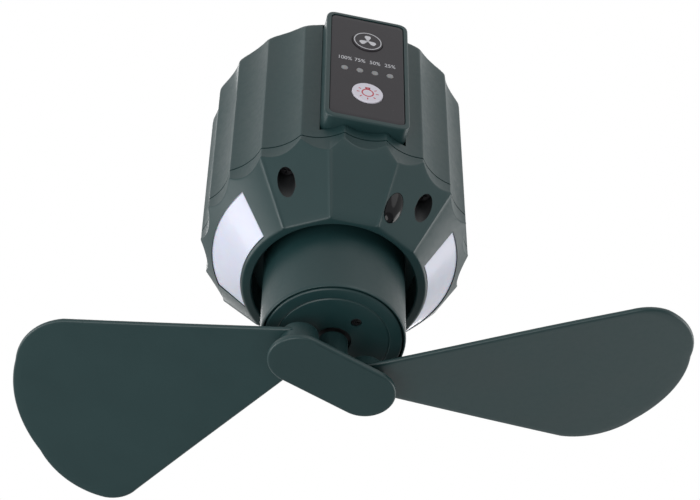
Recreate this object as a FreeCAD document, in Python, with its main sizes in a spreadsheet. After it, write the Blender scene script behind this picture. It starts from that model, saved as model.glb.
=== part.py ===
# Portable hanging fan with a folding two-blade rotor, a lamp and a battery.
# Axes: Z is the fan axis, up; the control panel faces -Y; the origin is on the flat top.
import FreeCAD, Part
import math
import os
import Sketcher

os.makedirs("parts", exist_ok=True)
doc = FreeCAD.newDocument("camping_fan")
Vec = FreeCAD.Vector
UP = Vec(0, 0, 1)

# Driving dimensions in millimetres and degrees
SIZES = {
    "ridgeRadius": 55.0,
    "valleyRadius": 52.6,
    "ridgeRound": 0.8,
    "shellInner": 49.0,
    "shellTop": -5.0,
    "seamLevel": -86.5,
    "coneTop": -91.6,
    "lipLevel": -118.0,
    "lipRadius": 36.7,
    "collarBore": 33.2,
    "flangeSeat": -102.0,
    "flangeRadius": 41.0,
    "flangeThick": 3.0,
    "topRound": 5.0,
    "plateauRadius": 36.0,
    "plateauStep": 5.0,
    "podEnd": -149.0,
    "podRadius": 28.6,
    "podWall": 2.2,
    "capRadius": 27.1,
    "capThick": 3.0,
    "capRing": 22.0,
    "motorScrewCircle": 13.4,
    "windowInner": 37.6,
    "windowOuter": 50.0,
    "windowThick": 2.0,
    "windowHalf": 30.0,
    "wellRadius": 3.6,
    "wellCircle": 46.3,
    "wellTurn": 37.0,
    "wellFloor": -93.0,
    "screwBoss": 4.0,
    "domeRadius": 3.7,
    "domeCircle": 42.0,
    "domeTurn": 21.0,
    "panelFace": -57.6,
    "panelBack": -46.5,
    "panelHalf": 17.6,
    "panelTop": -6.0,
    "panelFoot": -81.3,
    "lensHalf": 15.5,
    "lensTop": -8.2,
    "lensFoot": -78.9,
    "lensThick": 1.6,
    "buttonRadius": 6.5,
    "buttonTravel": 0.5,
    "fanButtonLevel": -24.4,
    "lampButtonLevel": -61.4,
    "dotLevel": -45.9,
    "dotRadius": 1.5,
    "dotPitch": 6.4,
    "hubTurn": 21.5,
    "hubOffset": 15.3,
    "hubEnd": 12.0,
    "hubFace": -169.8,
    "hubThick": 2.8,
    "bossRadius": 6.0,
    "postRadius": 3.0,
    "barrelRadius": 7.6,
    "barrelFoot": -166.7,
    "barrelTop": -155.6,
    "pinPlay": 0.05,
    "bladeLevel": -160.0,
    "bladeThick": 2.0,
    "bladeRise": 0.14,
    "bladeSlope": 0.15,
    "shaftRadius": 1.5,
    "motorRadius": 22.0,
    "wireRadius": 1.6,
    "bailRadius": 38.6,
    "bailLevel": -3.1,
    "lugReach": 48.6,
    "cellRadius": 9.2,
    "cellLength": 65.0,
    "cellPitch": 19.2,
    "cellBack": 24.0,
    "cellFoot": -82.0,
    "fitGap": 0.15,
}

FLUTES = 20
FACET_TURN = 30.0
WINDOW_SIDES = {"left": 180.0, "right": 0.0}
BLADE_REST = {"left": -42.1, "right": -10.9}

sheet = doc.addObject("Spreadsheet::Sheet", "size")
for row, (alias, value) in enumerate(SIZES.items(), start=1):
    sheet.set(f"A{row}", alias)
    sheet.set(f"B{row}", str(value))
    sheet.setAlias(f"B{row}", alias)
doc.recompute()

nodes = {}


def value_of(expression):
    """Works out an expression over the sheet's names."""
    return float(eval_names(expression))


def eval_names(expression):
    """Asks the sheet for the number behind an expression."""
    result = sheet.evalExpression(expression)
    return getattr(result, "Value", result)


def polar(radius, degrees):
    """Point at a radius and at an angle from +X."""
    angle = math.radians(degrees)
    return Vec(radius * math.cos(angle), radius * math.sin(angle), 0)


def facing(radius, degrees):
    """Point at a radius and at an angle from the front, towards +X."""
    return polar(radius, degrees - 90.0)


def turned(degrees, offset=None):
    """Placement turned about Z."""
    return FreeCAD.Placement(offset or Vec(), FreeCAD.Rotation(UP, degrees))


def new_body(name, placement=None):
    body = doc.addObject("PartDesign::Body", name)
    body.Label = name
    if placement:
        body.Placement = placement
    return body


def new_sketch(body, name, plane="XY_Plane", level=None, offset=None):
    """Sketch on an origin plane, moved along its normal by a sheet expression."""
    sketch = body.newObject("Sketcher::SketchObject", name)
    base = [item for item in body.Origin.OriginFeatures if item.Role == plane][0]
    sketch.AttachmentSupport = [(base, "")]
    sketch.MapMode = "FlatFace"
    if offset:
        sketch.AttachmentOffset = offset
    if level is not None:
        sketch.setExpression("AttachmentOffset.Base.z", level)
    return sketch


def add_circle(sketch, radius, at=("0", "0")):
    """Circle bound to the sheet by its radius and centre."""
    x, y = (value_of(item) for item in at)
    index = sketch.addGeometry(Part.Circle(Vec(x, y, 0), UP, value_of(radius)))
    bind(sketch, Sketcher.Constraint("Radius", index, value_of(radius)), radius)
    bind(sketch, Sketcher.Constraint("DistanceX", -1, 1, index, 3, x), at[0])
    bind(sketch, Sketcher.Constraint("DistanceY", -1, 1, index, 3, y), at[1])


def bind(sketch, constraint, expression):
    number = sketch.addConstraint(constraint)
    sketch.setExpression(f"Constraints[{number}]", expression)


def add_outline(sketch, corners):
    """Closed polygon whose corners are pairs of sheet expressions."""
    points = [Vec(value_of(x), value_of(y), 0) for x, y in corners]
    count = len(points)
    first = sketch.GeometryCount
    for index in range(count):
        sketch.addGeometry(Part.LineSegment(points[index], points[(index + 1) % count]))
    for index in range(count):
        after = first + (index + 1) % count
        sketch.addConstraint(Sketcher.Constraint("Coincident", first + index, 2, after, 1))
    for index, (x, y) in enumerate(corners):
        edge = first + index
        bind(sketch, Sketcher.Constraint("DistanceX", -1, 1, edge, 1, points[index].x), x)
        bind(sketch, Sketcher.Constraint("DistanceY", -1, 1, edge, 1, points[index].y), y)


def add_path(sketch, pieces):
    """Closed run of lines (two points) and arcs (three points)."""
    forward = [runs_forward(piece) for piece in pieces]
    for piece, onward in zip(pieces, forward):
        points = piece if onward else piece[::-1]
        sketch.addGeometry(Part.LineSegment(*points) if len(points) == 2 else Part.Arc(*points))
    for index in range(len(pieces)):
        after = (index + 1) % len(pieces)
        end = 2 if forward[index] else 1
        start = 1 if forward[after] else 2
        sketch.addConstraint(Sketcher.Constraint("Coincident", index, end, after, start))


def runs_forward(piece):
    """Whether a piece is a line or a counter-clockwise arc."""
    return len(piece) == 2 or (piece[1] - piece[0]).cross(piece[2] - piece[1]).z > 0


def pad(body, sketch, length, name, reverse=False):
    feature = body.newObject("PartDesign::Pad", name)
    feature.Profile = sketch
    feature.setExpression("Length", length)
    feature.Reversed = reverse
    body.Tip = feature
    return feature


def pocket(body, sketch, length, name):
    """Cuts a sketch downwards from its own level."""
    doc.recompute()
    before = body.Shape.Volume
    feature = body.newObject("PartDesign::Pocket", name)
    feature.Profile = sketch
    feature.setExpression("Length", length)
    feature.Reversed = False
    body.Tip = feature
    doc.recompute()
    if body.Shape.Volume >= before - 1e-6:
        raise RuntimeError(f"{name} removed nothing")
    return feature


def revolve(body, sketch, name, angle=360.0, groove=False):
    """Turns a profile on the XZ plane about the body's Z axis."""
    doc.recompute()
    before = body.Shape.Volume if groove else 0.0
    kind = "PartDesign::Groove" if groove else "PartDesign::Revolution"
    feature = body.newObject(kind, name)
    feature.Profile = sketch
    feature.ReferenceAxis = (sketch, ["V_Axis"])
    feature.Angle = angle
    feature.Midplane = angle < 360.0
    body.Tip = feature
    doc.recompute()
    if groove and body.Shape.Volume >= before - 1e-6:
        raise RuntimeError(f"{name} removed nothing")
    return feature


def repeat(body, feature, name, count, angle=360.0):
    """Polar pattern of a feature about the body's Z axis."""
    pattern = body.newObject("PartDesign::PolarPattern", name)
    pattern.Originals = [feature]
    pattern.Axis = (feature.Profile[0], ["N_Axis"])
    pattern.Angle = angle
    pattern.Occurrences = count
    body.Tip = pattern
    return pattern


def turned_part(name, corners, placement=None):
    """Body made by one full turn of a profile of (radius, level) corners."""
    body = new_body(name, placement)
    sketch = new_sketch(body, name + "_profile", "XZ_Plane")
    add_outline(sketch, corners)
    revolve(body, sketch, name + "_turn")
    return body


def disc_part(name, radius, foot, length, at=("0", "0"), placement=None):
    """Body of one round post."""
    body = new_body(name, placement)
    sketch = new_sketch(body, name + "_circle", level=foot)
    add_circle(sketch, radius, at)
    pad(body, sketch, length, name + "_pad")
    return body


def box_part(name, low, high):
    """Body of one block between two corners given as sheet expressions."""
    body = new_body(name)
    sketch = new_sketch(body, name + "_plan", level=low[2])
    add_outline(sketch, [(low[0], low[1]), (high[0], low[1]), (high[0], high[1]), (low[0], high[1])])
    pad(body, sketch, f"{high[2]} - ({low[2]})", name + "_pad")
    return body


def boolean(kind, name, base, tools):
    """Common, fuse or cut of whole objects."""
    result = doc.addObject(kind, name)
    result.Label = name
    if kind == "Part::Cut":
        result.Base = base
        result.Tool = tools
    else:
        result.Shapes = [base] + list(tools)
    doc.recompute()
    return result


def cut(name, base, tools):
    """Cut with one or more tools."""
    tool = tools[0] if len(tools) == 1 else boolean("Part::MultiFuse", name + "_tools", tools[0], tools[1:])
    return boolean("Part::Cut", name, base, tool)


def copies(name, source, placements):
    """One node that holds the same solid at several placements."""
    made = []
    for index, placement in enumerate(placements):
        link = doc.addObject("Part::Feature", f"{name}_{index}")
        link.Shape = source.Shape.copy()
        link.Placement = placement.multiply(source.Placement)
        made.append(link)
    group = doc.addObject("Part::Compound", name)
    group.Label = name
    group.Links = made
    doc.recompute()
    return group


def keep(name, item, body):
    """Registers a finished sub-part and the moving body that it rides on."""
    nodes[name] = (item, body)


def fluted_pieces(ridge, valley):
    """Round outline of hollow flutes with rounded ridges, one ridge half a pitch from the front."""
    pitch = 360.0 / FLUTES
    soft = math.degrees(value_of("size.ridgeRound") / ridge)
    pieces = []
    for index in range(FLUTES):
        middle = -90.0 + index * pitch
        low, high = middle - pitch / 2 + soft, middle + pitch / 2 - soft
        shoulder = ridge - 0.35
        pieces.append((polar(shoulder, low), polar(valley, middle), polar(shoulder, high)))
        pieces.append((polar(shoulder, high), polar(ridge, middle + pitch / 2), polar(shoulder, high + 2 * soft)))
    return pieces


def faceted_pieces(radius):
    """Outline with three flats in front, three behind and round sides."""
    pieces = []
    for side in (-90.0, 90.0):
        for index in range(3):
            start = side - 1.5 * FACET_TURN + index * FACET_TURN
            pieces.append((polar(radius, start), polar(radius, start + FACET_TURN)))
        start = side + 1.5 * FACET_TURN
        pieces.append((polar(radius, start), polar(radius, start + 45.0), polar(radius, start + 90.0)))
    return pieces


def fluted_prism(name, foot, top):
    """Fluted column between two levels."""
    body = new_body(name)
    sketch = new_sketch(body, name + "_flutes", level=foot)
    add_path(sketch, fluted_pieces(value_of("size.ridgeRadius"), value_of("size.valleyRadius")))
    pad(body, sketch, f"{top} - ({foot})", name + "_pad")
    return body


def make_shell():
    """Fluted wall, open below, with a rounded top edge and a slot for the control panel."""
    body = fluted_prism("body_shell_wall", "size.seamLevel + 0.15", "size.shellTop")
    inner = new_sketch(body, "shell_bore", level="size.shellTop - 3")
    add_circle(inner, "size.shellInner")
    pocket(body, inner, "size.shellTop - 3 - size.seamLevel", "shell_hollow")
    mouth = new_sketch(body, "shell_mouth", level="size.shellTop")
    add_circle(mouth, "size.shellInner - 4")
    pocket(body, mouth, "4", "shell_opening")
    edge = new_sketch(body, "shell_edge", "XZ_Plane")
    ridge, top, soft = (value_of("size." + item) for item in ("ridgeRadius", "shellTop", "topRound"))
    bend = soft * (1 - math.sqrt(0.5))
    add_path(edge, [
        (Vec(ridge, top - soft, 0), Vec(ridge - bend, top - bend, 0), Vec(ridge - soft, top, 0)),
        (Vec(ridge - soft, top, 0), Vec(ridge + 2, top + 2, 0)),
        (Vec(ridge + 2, top + 2, 0), Vec(ridge, top - soft, 0)),
    ])
    revolve(body, edge, "shell_rounding", groove=True)
    slot = box_part("panel_slot", ("-size.panelHalf - size.fitGap", "-60", "size.panelFoot - size.fitGap"),
                    ("size.panelHalf + size.fitGap", "-40", "size.panelTop + size.fitGap"))
    port = box_part("port_slot", ("-5", "44", "-58.2"), ("5", "60", "-54"))
    bosses, pilots = [], []
    for turn in well_turns():
        name = f"boss_{len(bosses)}"
        at = spot_names("size.wellCircle", turn)
        bosses.append(disc_part(name, "size.screwBoss", "size.seamLevel + 0.15", "20", at))
        pilots.append(disc_part(name + "_pilot", "1.5", "size.seamLevel - 1", "12", at))
    walls = boolean("Part::MultiFuse", "shell_walls", body, bosses)
    keep("body_shell", cut("body_shell", walls, [slot, port] + pilots), "base")


def make_top():
    """Flat top plate with the two lugs that carry the hanging loop."""
    body = turned_part("top_cover_plate", [
        ("0", "size.shellTop - 3"),
        ("size.shellInner - 4.2", "size.shellTop - 3"),
        ("size.shellInner - 4.2", "size.shellTop"),
        ("size.plateauRadius", "size.shellTop"),
        ("size.plateauRadius", "-0.6"),
        ("size.plateauRadius - 0.6", "0"),
        ("0", "0"),
    ])
    keep("top_cover", body, "base")
    lug = box_part("lug_block", ("-3", "-size.lugReach", "size.shellTop"), ("3", "-43", "-0.2"))
    hole = new_body("lug_hole")
    sketch = new_sketch(hole, "lug_hole_circle", "XZ_Plane", level="42")
    add_circle(sketch, "size.wireRadius + size.pinPlay", ("0", "size.bailLevel"))
    pad(hole, sketch, "10", "lug_hole_pad")
    lug = cut("bail_lug", lug, [hole])
    keep("bail_lugs", copies("bail_lugs", lug, [FreeCAD.Placement(), turned(180)]), "base")


def make_bail():
    """Half ring of round wire whose ends turn out into the lugs."""
    body = new_body("bail")
    radius, reach = value_of("size.bailRadius"), value_of("size.lugReach") - 0.6
    bend = 3.0
    slack = bend * math.sqrt(0.5)
    corner = Vec(bend - slack, slack - radius - bend, 0)
    route = new_sketch(body, "bail_route", level="size.bailLevel")
    path = [
        Part.LineSegment(Vec(0, -reach, 0), Vec(0, -radius - bend, 0)),
        Part.Arc(Vec(0, -radius - bend, 0), corner, Vec(bend, -radius, 0)),
        Part.Arc(Vec(bend, -radius, 0), Vec(bend + radius, 0, 0), Vec(bend, radius, 0)),
        Part.Arc(Vec(bend, radius, 0), Vec(corner.x, -corner.y, 0), Vec(0, radius + bend, 0)),
        Part.LineSegment(Vec(0, radius + bend, 0), Vec(0, reach, 0)),
    ]
    for curve in path:
        route.addGeometry(curve)
    section = new_sketch(body, "bail_section", "XZ_Plane", level="size.lugReach - 0.6")
    add_circle(section, "size.wireRadius", ("0", "size.bailLevel"))
    doc.recompute()
    sweep = body.newObject("PartDesign::AdditivePipe", "bail_sweep")
    sweep.Profile = section
    sweep.Spine = route
    body.Tip = sweep
    keep("bail", body, "bail")


def cone_level(radius):
    """Level of the sloping cover at a radius, as a sheet expression."""
    rise = "(size.coneTop - size.lipLevel) / (size.ridgeRadius - size.lipRadius)"
    return f"(size.lipLevel + ({radius} - size.lipRadius) * {rise})"


def window_profile(depth, grow, sink):
    """Corners of a strip that follows the slope, with its depth, extra width and sink."""
    inner = f"(size.windowInner - {grow})"
    outer = f"(size.windowOuter + {grow})"
    return [
        (inner, f"{cone_level(inner)} + {sink}"),
        (outer, f"{cone_level(outer)} + {sink}"),
        (outer, f"{cone_level(outer)} + {depth}"),
        (inner, f"{cone_level(inner)} + {depth}"),
    ]


def sector(name, corners, half, turn):
    """Part turn of a profile, centred on a direction."""
    body = new_body(name, turned(turn))
    sketch = new_sketch(body, name + "_profile", "XZ_Plane")
    add_outline(sketch, corners)
    revolve(body, sketch, name + "_turn", angle=2 * half)
    return body


def make_lower_cover():
    """Fluted band that runs into a faceted cone, with lamp windows, screw wells and a sensor hole."""
    band = fluted_prism("cover_band", "size.lipLevel", "size.seamLevel - 0.15")
    cone = new_body("cover_cone")
    foot = new_sketch(cone, "cone_foot", level="size.lipLevel")
    add_path(foot, faceted_pieces(value_of("size.lipRadius")))
    top_level = "size.seamLevel"
    top = new_sketch(cone, "cone_top", level=top_level)
    growth = value_of("(size.ridgeRadius - size.lipRadius) / (size.coneTop - size.lipLevel)")
    add_path(top, faceted_pieces(value_of("size.lipRadius") + growth * value_of(top_level + " - size.lipLevel")))
    loft = cone.newObject("PartDesign::AdditiveLoft", "cone_loft")
    loft.Profile = foot
    loft.Sections = [top]
    loft.Ruled = True
    cone.Tip = loft
    outer = boolean("Part::MultiCommon", "cover_form", band, [cone])
    tools = [turned_part("cover_bore", [
        ("0", "size.lipLevel - 5"),
        ("size.collarBore", "size.lipLevel - 5"),
        ("size.collarBore", "size.flangeSeat"),
        ("size.flangeRadius + 0.3", "size.flangeSeat"),
        ("size.flangeRadius + 0.3", "size.coneTop"),
        ("size.flangeRadius + 3", "size.coneTop"),
        ("size.flangeRadius + 3", "size.seamLevel + 5"),
        ("0", "size.seamLevel + 5"),
    ])]
    half = value_of("size.windowHalf")
    for side, turn in WINDOW_SIDES.items():
        recess = window_profile("7.5", "size.fitGap", "-4")
        tools.append(sector("recess_" + side, recess, half + 0.2, turn))
    for turn in well_turns():
        name = f"well_{len(tools)}"
        at = spot_names("size.wellCircle", turn)
        tools.append(disc_part(name, "size.wellRadius", "size.lipLevel - 2", "size.wellFloor - size.lipLevel + 2", at))
        tools.append(disc_part(name + "_bore", "1.7", "size.lipLevel - 2", "40", at))
    at = spot_names("size.domeCircle", value_of("size.domeTurn"))
    tools.append(disc_part("dome_hole", "size.domeRadius + size.fitGap", "size.lipLevel - 2", "17", at))
    keep("lower_cover", cut("lower_cover", outer, tools), "base")


def spot_names(circle, turn):
    """Centre on a circle, at an angle from the front, as sheet expressions."""
    spot = facing(1, turn)
    return (f"{circle} * {spot.x:.6f}", f"{circle} * {spot.y:.6f}")


def well_turns():
    """Directions of the four screw wells from the front."""
    turn = value_of("size.wellTurn")
    return (-turn, turn, 180.0 - turn, 180.0 + turn)


def make_windows():
    half = value_of("size.windowHalf")
    for side, turn in WINDOW_SIDES.items():
        name = "led_window_" + side
        strip = window_profile("size.windowThick + 0.3", "0", "0.3")
        keep(name, sector(name, strip, half, turn), "base")
        name = "led_board_" + side
        keep(name, sector(name, window_profile("7.3", "-1", "6"), half - 3, turn), "base")
        chips = chip_row("led_chips_" + side, turn)
        keep("led_chips_" + side, chips, "base")


def chip_row(name, turn):
    """Row of lamp chips standing on a curved board."""
    middle = "((size.windowInner + size.windowOuter) / 2)"
    corners = [
        (f"({middle} - 1.4)", f"{cone_level(middle + ' - 1.4')} + 5.1"),
        (f"({middle} + 1.4)", f"{cone_level(middle + ' + 1.4')} + 5.1"),
        (f"({middle} + 1.4)", f"{cone_level(middle + ' + 1.4')} + 5.95"),
        (f"({middle} - 1.4)", f"{cone_level(middle + ' - 1.4')} + 5.95"),
    ]
    chip = sector(name + "_chip", corners, 2.0, turn)
    return copies(name, chip, [turned(step) for step in (-20, -10, 0, 10, 20)])


def make_screws():
    """Four cover screws at the bottom of their wells."""
    screw = turned_part("cover_screw", [
        ("0", "size.wellFloor - 1.0"),
        ("1.3", "size.wellFloor - 1.6"),
        ("2.9", "size.wellFloor - 1.6"),
        ("2.9", "size.wellFloor - 0.1"),
        ("1.5", "size.wellFloor - 0.1"),
        ("1.5", "size.wellFloor + 12"),
        ("0", "size.wellFloor + 12"),
    ])
    circle = value_of("size.wellCircle")
    spots = [FreeCAD.Placement(facing(circle, turn), FreeCAD.Rotation()) for turn in well_turns()]
    keep("cover_screws", copies("cover_screws", screw, spots), "base")


def make_dome():
    """Round sensor lens in its hole beside the panel."""
    dome = turned_part("ir_dome", [
        ("0", "size.lipLevel + 7.5"),
        ("1.6", "size.lipLevel + 7.9"),
        ("2.8", "size.lipLevel + 9.0"),
        ("size.domeRadius", "size.lipLevel + 11"),
        ("size.domeRadius", "size.lipLevel + 14.9"),
        ("0", "size.lipLevel + 14.9"),
    ], FreeCAD.Placement(facing(value_of("size.domeCircle"), value_of("size.domeTurn")), FreeCAD.Rotation()))
    keep("ir_dome", dome, "base")


def make_pod():
    """Motor pod with its flange, and the end cap with a groove round it."""
    bore = "(size.podRadius - size.podWall)"
    keep("pod_housing", turned_part("pod_housing", [
        (bore, "size.podEnd + size.capThick + 0.1"),
        ("size.capRadius + 0.7", "size.podEnd + size.capThick + 0.1"),
        ("size.capRadius + 0.7", "size.podEnd + 0.3"),
        ("size.podRadius - 0.5", "size.podEnd + 0.3"),
        ("size.podRadius", "size.podEnd + 1.1"),
        ("size.podRadius", "size.flangeSeat"),
        ("size.flangeRadius", "size.flangeSeat"),
        ("size.flangeRadius", "size.flangeSeat + size.flangeThick"),
        (bore, "size.flangeSeat + size.flangeThick"),
    ]), "base")
    cap = turned_part("cap_disc", [
        ("size.bossRadius + 1.2", "size.podEnd"),
        ("size.capRing - 0.3", "size.podEnd"),
        ("size.capRing", "size.podEnd + 0.4"),
        ("size.capRing + 0.3", "size.podEnd"),
        ("size.capRadius - 0.4", "size.podEnd"),
        ("size.capRadius", "size.podEnd + 0.4"),
        ("size.capRadius", "size.podEnd + size.capThick"),
        ("size.bossRadius + 1.2", "size.podEnd + size.capThick"),
    ])
    holes = []
    for index, spot in enumerate(motor_screw_spots()):
        holes.append(disc_part(f"cap_hole_{index}", "2.15", "size.podEnd - 1", "1.0 + 1.4",
                               placement=FreeCAD.Placement(spot, FreeCAD.Rotation())))
        holes.append(disc_part(f"cap_pilot_{index}", "1.15", "size.podEnd - 1", "6",
                               placement=FreeCAD.Placement(spot, FreeCAD.Rotation())))
    keep("pod_end_cap", cut("pod_end_cap", cap, holes), "base")
    screw = turned_part("motor_screw", [
        ("0", "size.podEnd + 0.4"),
        ("2.0", "size.podEnd + 0.4"),
        ("2.0", "size.podEnd + 1.4"),
        ("1.1", "size.podEnd + 1.4"),
        ("1.1", "size.podEnd + 5.5"),
        ("0", "size.podEnd + 5.5"),
    ])
    spots = [FreeCAD.Placement(spot, FreeCAD.Rotation()) for spot in motor_screw_spots()]
    keep("motor_screws", copies("motor_screws", screw, spots), "base")


def motor_screw_spots():
    """Three screw places round the shaft."""
    return [facing(value_of("size.motorScrewCircle"), turn) for turn in (30.0, 150.0, 270.0)]


def make_motor():
    """Motor with a bore for its shaft and pilot holes for its screws."""
    can = turned_part("motor_body", [
        ("size.shaftRadius + size.pinPlay", "size.podEnd + size.capThick"),
        ("size.motorRadius", "size.podEnd + size.capThick"),
        ("size.motorRadius", "size.podEnd + 19"),
        ("size.motorRadius - 2", "size.podEnd + 21"),
        ("5", "size.podEnd + 21"),
        ("5", "size.podEnd + 24"),
        ("size.shaftRadius + size.pinPlay", "size.podEnd + 24"),
    ])
    pilots = []
    for index, spot in enumerate(motor_screw_spots()):
        pilots.append(disc_part(f"motor_pilot_{index}", "1.1", "size.podEnd", "7",
                                placement=FreeCAD.Placement(spot, FreeCAD.Rotation())))
    keep("motor", cut("motor", can, pilots), "base")
    keep("motor_board", turned_part("motor_board", [
        ("6", "size.podEnd + 24.5"),
        ("20", "size.podEnd + 24.5"),
        ("20", "size.podEnd + 26.1"),
        ("6", "size.podEnd + 26.1"),
    ]), "base")


def make_panel():
    """Raised panel frame with its dark lens, the two push buttons and four battery dots."""
    frame = front_plate("panel_block", "size.panelHalf", "size.panelFoot", "size.panelTop", 2.5,
                        "size.panelFace", "size.panelBack")
    recess = box_part("lens_recess", ("-size.lensHalf - 0.2", "size.panelFace - 1", "size.lensFoot - 0.2"),
                      ("size.lensHalf + 0.2", "size.panelFace + 2", "size.lensTop + 0.2"))
    hollow = box_part("panel_hollow", ("-size.lensHalf + 1.5", "size.panelFace - 1", "size.lensFoot + 1.5"),
                      ("size.lensHalf - 1.5", "size.panelBack + 1", "size.lensTop - 1.5"))
    keep("panel_frame", cut("panel_frame", frame, [recess, hollow]), "base")
    lens = box_part("lens_block", ("-size.lensHalf", "size.panelFace + 0.3", "size.lensFoot"),
                    ("size.lensHalf", "size.panelFace + 0.3 + size.lensThick", "size.lensTop"))
    tools = []
    for name, level in button_levels().items():
        tools.append(front_post(name + "_hole", "size.buttonRadius + 0.25", level, "-62", "-50"))
    for index, place in enumerate(dot_places()):
        tools.append(front_post(f"dot_hole_{index}", "size.dotRadius + 0.05", "size.dotLevel", "-62", "-50", place))
    keep("panel_lens", cut("panel_lens", lens, tools), "base")
    for name, level in button_levels().items():
        cap = front_post(name + "_cap", "size.buttonRadius", level, "size.panelFace - 0.3", "size.panelFace + 2.2")
        stem = front_post(name + "_stem", "2", level, "size.panelFace + 2.0", "size.panelFace + 5.2")
        keep(name, boolean("Part::MultiFuse", name, cap, [stem]), name)
        switch = front_post(name + "_switch_post", "1.6", level, "size.panelFace + 5.9", "size.panelFace + 7.2")
        base = box_part(name + "_switch_base", ("-3", "size.panelFace + 7", f"{level} - 3"),
                        ("3", "size.panelFace + 9.3", f"{level} + 3"))
        keep(name + "_switch", boolean("Part::MultiFuse", name + "_switch", base, [switch]), "base")
    dots = [front_post(f"dot_{index}", "size.dotRadius", "size.dotLevel", "size.panelFace + 0.2",
                       "size.panelFace + 2.6", place) for index, place in enumerate(dot_places())]
    group = doc.addObject("Part::Compound", "battery_dots")
    group.Label = "battery_dots"
    group.Links = dots
    doc.recompute()
    keep("battery_dots", group, "base")
    keep("panel_board", box_part("panel_board", ("-13.5", "size.panelFace + 9.3", "size.lensFoot + 2"),
                                 ("13.5", "size.panelFace + 10.9", "size.lensTop - 2")), "base")


def front_plate(name, half, foot, top, radius, front, back):
    """Upright plate with rounded corners between two depths."""
    wide, low, high = value_of(half), value_of(foot), value_of(top)
    bend = radius * (1 - math.sqrt(0.5))
    body = new_body(name)
    sketch = new_sketch(body, name + "_outline", "XZ_Plane", level=f"-({back})")
    add_path(sketch, [
        (Vec(radius - wide, low, 0), Vec(wide - radius, low, 0)),
        (Vec(wide - radius, low, 0), Vec(wide - bend, low + bend, 0), Vec(wide, low + radius, 0)),
        (Vec(wide, low + radius, 0), Vec(wide, high - radius, 0)),
        (Vec(wide, high - radius, 0), Vec(wide - bend, high - bend, 0), Vec(wide - radius, high, 0)),
        (Vec(wide - radius, high, 0), Vec(radius - wide, high, 0)),
        (Vec(radius - wide, high, 0), Vec(bend - wide, high - bend, 0), Vec(-wide, high - radius, 0)),
        (Vec(-wide, high - radius, 0), Vec(-wide, low + radius, 0)),
        (Vec(-wide, low + radius, 0), Vec(bend - wide, low + bend, 0), Vec(radius - wide, low, 0)),
    ])
    pad(body, sketch, f"({back}) - ({front})", name + "_pad")
    return body


def button_levels():
    return {"fan_button": "size.fanButtonLevel", "lamp_button": "size.lampButtonLevel"}


def dot_places():
    """Sideways places of the four battery dots."""
    return [f"{step} * size.dotPitch" for step in (-1.5, -0.5, 0.5, 1.5)]


def front_post(name, radius, level, front, back, place="0"):
    """Round post that runs along Y between two depths."""
    body = new_body(name)
    sketch = new_sketch(body, name + "_circle", "XZ_Plane", level=f"-({back})")
    add_circle(sketch, radius, (place, level))
    pad(body, sketch, f"({back}) - ({front})", name + "_pad")
    return body


def make_power():
    """Battery cells, their holder, the main board and the charging socket."""
    cells = [disc_part(f"cell_{index}", "size.cellRadius", "size.cellFoot", "size.cellLength",
                       (f"{step} * size.cellPitch", "size.cellBack"))
             for index, step in enumerate((-1, 0, 1))]
    group = doc.addObject("Part::Compound", "battery_cells")
    group.Label = "battery_cells"
    group.Links = cells
    keep("battery_cells", group, "base")
    tray = box_part("cell_tray", ("-27.5", "14.5", "size.cellFoot - 2"), ("27.5", "32.6", "size.cellFoot + 3.5"))
    seats = [disc_part(f"seat_{index}", "size.cellRadius + 0.1", "size.cellFoot", "20",
                       (f"{step} * size.cellPitch", "size.cellBack"))
             for index, step in enumerate((-1, 0, 1))]
    keep("cell_holder", cut("cell_holder", tray, seats), "base")
    keep("main_board", box_part("main_board", ("-28", "-6", "-86"), ("28", "-4.4", "-18")), "base")
    socket = box_part("charge_block", ("-4.7", "43.5", "-57.9"), ("4.7", "51.5", "-54.3"))
    mouth = box_part("charge_mouth", ("-4.2", "45", "-57.4"), ("4.2", "52", "-54.8"))
    keep("charge_port", cut("charge_port", socket, [mouth]), "base")
    keep("charge_board", box_part("charge_board", ("-9", "38", "-59.5"), ("9", "47.4", "-57.9")), "base")


def hub_spot(side):
    """Centre of a folding pin."""
    turn = value_of("size.hubTurn")
    return polar(value_of("size.hubOffset"), turn if side == "right" else turn + 180.0)


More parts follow.
